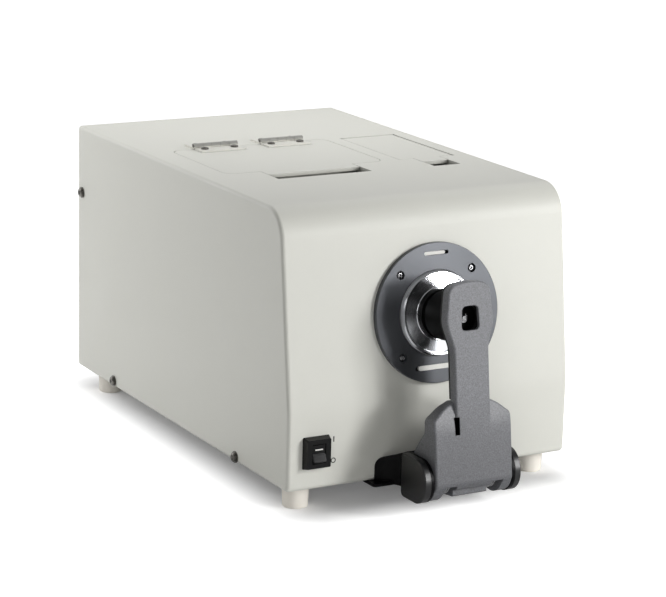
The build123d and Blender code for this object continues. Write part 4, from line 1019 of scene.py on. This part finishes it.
@dataclass
class Lids(SubAssembly):
    """Both lids, the butt hinges of the large one and the wells under them.

    Attributes:
        pitch: distance between the two screws of a leaf.
        offset: distance of the screws from the hinge line.
        first_turn: where the turns of the crosses start from, in radians.
    """

    hinge_xs: tuple[float, float] = (-58.75 * MM, 1.25 * MM)
    hinge_y: float = FRONT_Y + 250.15 * MM
    pitch: float = 26.5 * MM
    offset: float = 8.2 * MM
    seat: float = TOP_Z + 1.2 * MM
    head: CrossHead = field(default_factory=lambda: CrossHead(3.1 * MM, 1.5 * MM))
    first_turn: float = 0.4

    def finish(self) -> None:
        """Dress the CAD nodes."""
        dress(Finish.LID, "chamber_lid", "selector_lid")
        dress(Finish.LEAF, "hinge_leaves_fixed", "hinge_leaves_moving")
        dress(Finish.DULL, "hinge_pins")
        dress(Finish.BRIGHT, "selector_lid_pins")
        dress(Finish.MATTE, "transmission_chamber", "selector_well")
        dress(Finish.SEAL, "lid_seal")

    def build(self) -> None:
        """Build the recessed heads of the hinge screws."""
        rows = (("hinge_screws_fixed", 1, Body.HOUSING),
                ("hinge_screws_moving", -1, Body.CHAMBER_LID))
        for node, side, body in rows:
            places = []
            for number, x in enumerate(self.hinge_xs):
                for half in (-1, 1):
                    spot = Vector((x + half * self.pitch / 2,
                                   self.hinge_y + side * self.offset, self.seat))
                    turn = Matrix.Rotation(self.first_turn + number + half + side, 4, "Z")
                    places.append(Matrix.Translation(spot) @ turn)
            heads = piece(f"{node}_heads", merged(self.head.shape, places), Finish.DULL,
                          body)
            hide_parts(node)


@dataclass(frozen=True)
class RoundSlot:
    """A slot with round ends on the port's plane, from its centre."""

    across: float
    rise: float
    length: float
    width: float

    def shortened(self, gap: float) -> "RoundSlot":
        """Return the slot less a gap at its right end, or at its left where that is negative."""
        return RoundSlot(self.across - gap / 2, self.rise, self.length - abs(gap), self.width)

    def outline(self, play: float, steps: int) -> Outline:
        """Trace the slot.

        Args:
            play: how far inside its edge.
            steps: divisions of each round end.

        Returns:
            The points.
        """
        radius = self.width / 2 - play
        reach = (self.length - self.width) / 2
        points = []
        for side in (1, -1):
            for step in range(steps + 1):
                turn = math.pi * (step / steps - 0.5)
                points.append((self.across + side * (reach + radius * math.cos(turn)),
                               self.rise + side * radius * math.sin(turn)))
        return points


@dataclass
class Port(SubAssembly):
    """The measuring port: disc, its screws, what lies in its slots and the turned mask.

    Attributes:
        gaps: length of each slot that its insert leaves to the painted shade below, at the right
            end, or at the left where it is negative.
        shade_floor_levels: foot and top of the slots' dark floors, painted shade, above the
            port's plane.
        insert_levels: foot and top of the pale inserts.
    """

    slots: tuple[RoundSlot, ...] = (
        RoundSlot(0.4 * MM, 45.0 * MM, 21.0 * MM, 2.8 * MM),
        RoundSlot(-0.2 * MM, -40.5 * MM, 41.0 * MM, 4.0 * MM),
    )
    gaps: tuple[float, ...] = (2.6 * MM, -3.0 * MM)
    shade_floor_levels: tuple[float, float] = (0.3 * MM, 1.5 * MM)
    insert_levels: tuple[float, float] = (1.6 * MM, 3.4 * MM)
    play: float = 0.1 * MM
    round_steps: int = 12

    def finish(self) -> None:
        """Dress the CAD nodes."""
        dress(Finish.DISC, "port_disc")
        dress(Finish.STEEL, "port_disc_screws")
        dress(Finish.MASK, "target_mask")

    def build(self) -> None:
        """Lay a dark floor of painted shade into each slot of the disc, and a shorter pale insert
        over it.
        """
        inserts = [slot.shortened(gap) for slot, gap in zip(self.slots, self.gaps)]
        # The dark floors are painted shade at the slots' open ends.
        piece("slot_floors", self.filling(self.slots, self.shade_floor_levels), Finish.PAD,
              Body.HOUSING)
        piece("slot_inserts", self.filling(inserts, self.insert_levels), Finish.WHITE_COAT,
              Body.HOUSING)

    def filling(self, slots: Sequence[RoundSlot], levels: tuple[float, float]) -> Mesh:
        """Fill slots between two levels.

        Args:
            slots: the slots.
            levels: the filling's lower and upper face.

        Returns:
            The filling.
        """
        mesh = bmesh.new()
        for slot in slots:
            outline = slot.outline(self.play, self.round_steps)
            add_solid(mesh, [[(x, y, level) for x, y in outline] for level in levels])
        return put(mesh, basis(PORT, ACROSS, OUT))


@dataclass
class Optics(SubAssembly):
    """What the housing holds behind the port and under the lids."""

    def finish(self) -> None:
        """Dress the CAD nodes."""
        dress(Finish.WHITE_COAT, "sphere_front", "sphere_rear")
        dress(Finish.ZINC, "sphere_bolts", "board_spacers", "lens_rails")
        dress(Finish.SHEET, "sphere_stand", "lens_bench")
        dress(Finish.MATTE, "lamp_housings", "lens_carriage", "spectral_sensor",
              "flash_capacitors", "selector_knob")
        dress(Finish.GLASS, "flash_tubes", "lens")
        dress(Finish.BOARD, "main_board", "power_board")


@dataclass
class Holder(SubAssembly):
    """The specimen holder: arm, sprung pad, base and end caps.

    Attributes:
        slot_across: centre of the blind slot beside the neck, from the pivot.
        slot_rise: the same, up the arm.
        slot_floor: the blind slot's floor, out from the pivot.
        face_out: the arm's face, out from the pivot.
        play: room between the slot and its lining, and the lining's thickness.
    """

    slot_across: float = -13.65 * MM
    slot_rise: float = 39.75 * MM
    slot_width: float = 4.1 * MM
    slot_length: float = 13.3 * MM
    slot_floor: float = 11.8 * MM
    face_out: float = 17.8 * MM
    play: float = 0.15 * MM

    def finish(self) -> None:
        """Dress the CAD nodes."""
        dress(Finish.CAST, "arm_shell")
        # The back plate is dark matte, which paints the shade of the arm's inside seen through
        # its window.
        dress(Finish.MATTE, "arm_back")
        dress(Finish.ZINC, "arm_screws", "pivot_pin")
        dress(Finish.STEEL, "pad_stem", "stem_clip")
        dress(Finish.SPRING, "torsion_springs")
        dress(Finish.PAD, "pad", "pad_sleeve")
        dress(Finish.BASE, "holder_base")
        dress(Finish.CAP, "end_caps")

    def build(self) -> None:
        """Build what the arm carries beside its CAD pieces."""
        self.build_liner()
        self.build_coil()

    def build_liner(self) -> None:
        """Line the blind slot beside the neck in black: painted shade."""
        across, rise = self.slot_width / 2 - self.play, self.slot_length / 2 - self.play
        floor, rim = self.slot_floor + self.play, self.face_out - self.play
        cup = ((0.0, floor), (0.0, rim), (self.play, rim), (self.play, floor + self.play))
        mesh = bmesh.new()
        add_solid(mesh, [
            [(x * (across - inset), y * (rise - inset), out) for x, y in CORNERS]
            for inset, out in cup
        ])
        mouth = Matrix.Translation((self.slot_across, self.slot_rise, 0.0))
        # The black lining is painted shade inside the slot.
        piece("slot_liner", put(mesh, basis(PIVOT, ACROSS, OUT) @ mouth), Finish.PAD,
              Body.HOLDER, smooth=False)

    def build_coil(self) -> None:
        """Lay a copy of the pad's spring between pad and arm, in place of its CAD node."""
        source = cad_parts["pad_spring"]
        data = source.data.copy()
        data.name = "pad_coil"
        data.transform(source.matrix_world)
        data.materials.clear()
        data.materials.append(Finish.SPRING.material())
        coil = linked("pad_coil", data)
        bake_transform(coil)
        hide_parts("pad_spring")
        log.info("pad_coil: %d faces between holder and plunger", len(data.polygons))


@dataclass
class Switch(SubAssembly):
    """The power switch, its printed marks and a painted highlight on its rocker.

    Attributes:
        mark_x: where the bar and the ring stand on the cover.
        on_z: the bar's two ends.
        off_z: the ring's centre.
        stroke: the ring's stroke.
        proud: how far print stands out, and reaches in.
        tilt: the rocker's tilt at rest.
        lip: how far out the rocker's upper edge is from its axis, and how high.
        valley: how far out the rocker's middle is.
        dash: length and width of the painted highlight on the rocker.
        dash_rise: the highlight's height above the rocker's axis.
    """

    mark_x: float = -83.7 * MM
    on_z: tuple[float, float] = (52.6 * MM, 57.0 * MM)
    off_z: float = 38.4 * MM
    ring: float = 2.1 * MM
    stroke: float = 0.75 * MM
    bar_width: float = 1.0 * MM
    proud: float = 0.03 * MM
    ring_steps: int = 40
    bar_steps: int = 12
    axis: Vector = field(
        default_factory=lambda: Vector((-98.6 * MM, FRONT_Y - 2.6 * MM, 46.6 * MM)))
    tilt: float = math.radians(-8.0)
    lip: tuple[float, float] = (3.6 * MM, 6.9 * MM)
    valley: float = 2.3 * MM
    dash: tuple[float, float] = (6.4 * MM, 1.0 * MM)
    dash_rise: float = 2.9 * MM

    def finish(self) -> None:
        """Dress the CAD nodes."""
        dress(Finish.GLOSS, "switch_housing", "rocker")

    def build(self) -> None:
        """Print the ring and the bar on the cover, and lay a painted highlight, a pale bar, on
        the rocker.
        """
        place = basis(Vector((self.mark_x, FRONT_Y, 0.0)), ACROSS, Vector((0.0, -1.0, 0.0)))
        for name, mesh in (("mark_off", self.off_mark()), ("mark_on", self.on_mark())):
            piece(name, put(mesh, place), Finish.INK, Body.HOUSING, smooth=False)
        # The pale bar on the rocker is a painted highlight.
        piece("rocker_mark", self.rocker_mark(), Finish.WHITE_COAT, Body.ROCKER,
              smooth=False)

    def print_profile(self, inner: float, outer: float) -> Outline:
        """Return the section of print between two radii."""
        return ((inner, -self.proud), (outer, -self.proud), (outer, self.proud),
                (inner, self.proud))

    def off_mark(self) -> Mesh:
        """Make the ring.

        Returns:
            The ring, on the cover's plane.
        """
        ring = lathe(self.print_profile(self.ring - self.stroke, self.ring), self.ring_steps)
        return put(ring, Matrix.Translation((0.0, self.off_z, 0.0)))

    def on_mark(self) -> Mesh:
        """Make the bar: a dot whose halves are drawn apart.

        Returns:
            The bar, on the cover's plane.
        """
        low, high = self.on_z
        half = self.bar_width / 2
        bar = lathe(self.print_profile(0.0, half), self.bar_steps)
        for vertex in bar.verts:
            vertex.co.y += (high + low) / 2 + math.copysign((high - low) / 2 - half, vertex.co.y)
        return bar

    def rocker_mark(self) -> Mesh:
        """Make the painted highlight: a pale bar on the rocker's upper half.

        Returns:
            The bar, in the world.
        """
        out, rise = self.lip
        slope = Vector((0.0, self.valley - out, rise))
        spot = Vector((0.0, -self.valley, 0.0)) + slope * (self.dash_rise / rise)
        up = slope.normalized()
        away = ACROSS.cross(up)
        length, width = self.dash
        mesh = bmesh.new()
        add_solid(mesh, [
            [spot + ACROSS * (x * length / 2) + up * (y * width / 2) + away * lift
             for x, y in CORNERS]
            for lift in (self.proud, -self.proud)
        ])
        return put(mesh, Matrix.Translation(self.axis) @ Matrix.Rotation(self.tilt, 4, "X"))


@dataclass
class Lamp:
    """A soft rectangular studio lamp.

    Attributes:
        power: watts.
        aim: the point that it faces.
        spread: the angle that its light fills.
    """

    name: str
    place: Vector
    width: float
    height: float
    power: float
    aim: Vector = field(default_factory=lambda: Vector((0.0, 0.0, 0.1)))
    spread: float = math.pi

    def build(self) -> None:
        """Place the lamp and aim it."""
        data = bpy.data.lights.new(self.name, "AREA")
        data.shape = "RECTANGLE"
        data.size, data.size_y = self.width, self.height
        data.energy = self.power
        data.spread = self.spread
        made = linked(self.name, data)
        made.location = self.place
        made.rotation_euler = (self.aim - self.place).to_track_quat("-Z", "Y").to_euler()


@dataclass
class Studio:
    """Floor, surroundings, lamps and camera.

    Attributes:
        glow: the floor's glow beside the object, and well clear of it.
        glow_centre: middle of the rectangle where the glow is weakest.
        glow_half: half the rectangle's width and length.
        glow_reach: how far outside the rectangle the glow is full.
        sky: strength of the ceiling's light.
        sky_edge: how steeply a direction rises where the ceiling begins and is full.
        backdrop: strength of the white that metal and glass show, behind the object.
        backdrop_edge: how far back a direction points where that begins and is full.
    """

    floor_half: float = 12.0
    floor: Color = (0.93, 0.93, 0.93)
    glow: tuple[float, float] = (0.12, 1.0)
    glow_centre: tuple[float, float] = (0.0, 29.0 * MM)
    glow_half: tuple[float, float] = (99.0 * MM, 186.0 * MM)
    glow_reach: float = 60.0 * MM
    sky: float = 0.3
    sky_edge: tuple[float, float] = (0.5, 0.75)
    backdrop: float = 1.0
    backdrop_edge: tuple[float, float] = (0.1, 0.5)
    camera_place: Vector = field(default_factory=lambda: Vector((-0.96995, -1.72025, 0.61901)))
    camera_turn: tuple[float, float, float] = (1.3208572, -0.0252035, -0.5085400)
    lens: float = 138.03
    sensor: float = 36.0
    clip: tuple[float, float] = (0.05, 60.0)
    lamps: tuple[Lamp, ...] = (
        Lamp("key", Vector((0.8, -1.0, 0.6)), 0.3, 0.3, 6.9),
        Lamp("front", Vector((1.05, -1.7, 0.4)), 0.35, 0.35, 10.6),
        Lamp("fill", Vector((-1.5, -2.0, 0.9)), 1.2, 1.0, 9.5),
        Lamp("left", Vector((-0.55, 0.55, 0.45)), 0.5, 0.5, 2.3),
        Lamp("back", Vector((0.1, 0.3, 0.62)), 1.0, 0.4, 1.1),
        Lamp("top", Vector((0.05, 0.13, 0.65)), 0.4, 0.25, 0.13, Vector((0.05, 0.13, 0.0)),
             math.radians(75.0)),
    )

    def floor_glow(self, graph: Graph) -> Socket:
        """Make the floor white where it is seen well clear of the object.

        Args:
            graph: the floor's material.

        Returns:
            The strength of the glow.
        """
        spot = graph.node("NewGeometry").outputs["Position"]
        offset = graph.vector("SUBTRACT", spot, (*self.glow_centre, 0.0))
        past = graph.vector("SUBTRACT", graph.vector("ABSOLUTE", offset), (*self.glow_half, 0.0))
        outside = graph.vector("MAXIMUM", past, (0.0, 0.0, 0.0))
        distance = graph.vector("LENGTH", outside)
        rise = graph.ramp(distance, (0.0, self.glow_reach), self.glow, smooth=True)
        behind = graph.math("GREATER_THAN", graph.part(spot, "Y"), 0.0)
        camera, mirrored = graph.rays()
        seen = graph.math("MAXIMUM", camera, graph.math("MULTIPLY", mirrored, behind))
        return graph.math("MULTIPLY", rise, seen)

    def build_floor(self) -> None:
        """Lay the pale floor."""
        mesh = bmesh.new()
        half = self.floor_half
        mesh.faces.new([mesh.verts.new((x * half, y * half, 0.0)) for x, y in CORNERS])
        graph = Graph("floor")
        graph.set(Base_Color=self.floor, Roughness=0.9, Specular_IOR_Level=0.1)
        glow = graph.node("Emission")
        graph.feed(glow.inputs["Strength"], self.floor_glow(graph))
        both = graph.node("AddShader")
        graph.feed_all(both, (graph.shader.outputs[0], glow.outputs[0]))
        graph.feed(graph.surface, both.outputs[0])
        data = settled("floor", mesh)
        data.materials.append(graph.material)
        linked("floor", data)

    def build_surround(self) -> None:
        """Set the world: white where it is seen, a bright ceiling over a dark room elsewhere."""
        world = bpy.data.worlds.new("studio")
        world.use_nodes = True
        tree = Tree(world.node_tree)
        direction = tree.node("TexCoord").outputs["Generated"]
        ceiling = tree.ramp(
            tree.part(direction, "Z"), self.sky_edge, (0.0, self.sky), smooth=True)
        backdrop = tree.ramp(
            tree.part(direction, "Y"), self.backdrop_edge, (0.0, self.backdrop), smooth=True)
        camera, mirrored = tree.rays()
        lit = tree.node("Background")
        tree.feed(lit.inputs["Strength"], tree.math("MULTIPLY_ADD", mirrored, backdrop, ceiling))
        seen = tree.node("Background")
        seen.inputs["Color"].default_value = (1.0, 1.0, 1.0, 1.0)
        mix = tree.node("MixShader")
        tree.feed_all(mix, (camera, lit.outputs[0], seen.outputs[0]))
        tree.feed(tree.node("OutputWorld").inputs["Surface"], mix.outputs[0])
        bpy.context.scene.world = world

    def build_camera(self) -> None:
        """Place the camera."""
        data = bpy.data.cameras.new("camera")
        data.lens, data.sensor_width = self.lens, self.sensor
        data.clip_start, data.clip_end = self.clip
        made = linked("camera", data)
        made.location = self.camera_place
        made.rotation_euler = self.camera_turn
        bpy.context.scene.camera = made

    def build(self) -> None:
        """Set up the whole studio."""
        self.build_floor()
        self.build_surround()
        for lamp in self.lamps:
            lamp.build()
        self.build_camera()
        bpy.context.scene.view_settings.view_transform = "Standard"


def main() -> None:
    """Build and dress every sub-assembly, then the studio."""
    for part in (Housing(), Lids(), Port(), Optics(), Holder(), Switch()):
        part.finish()
        part.build()
        log.info("%s is done", type(part).__name__)
    Studio().build()


if __name__ == "__main__":
    main()
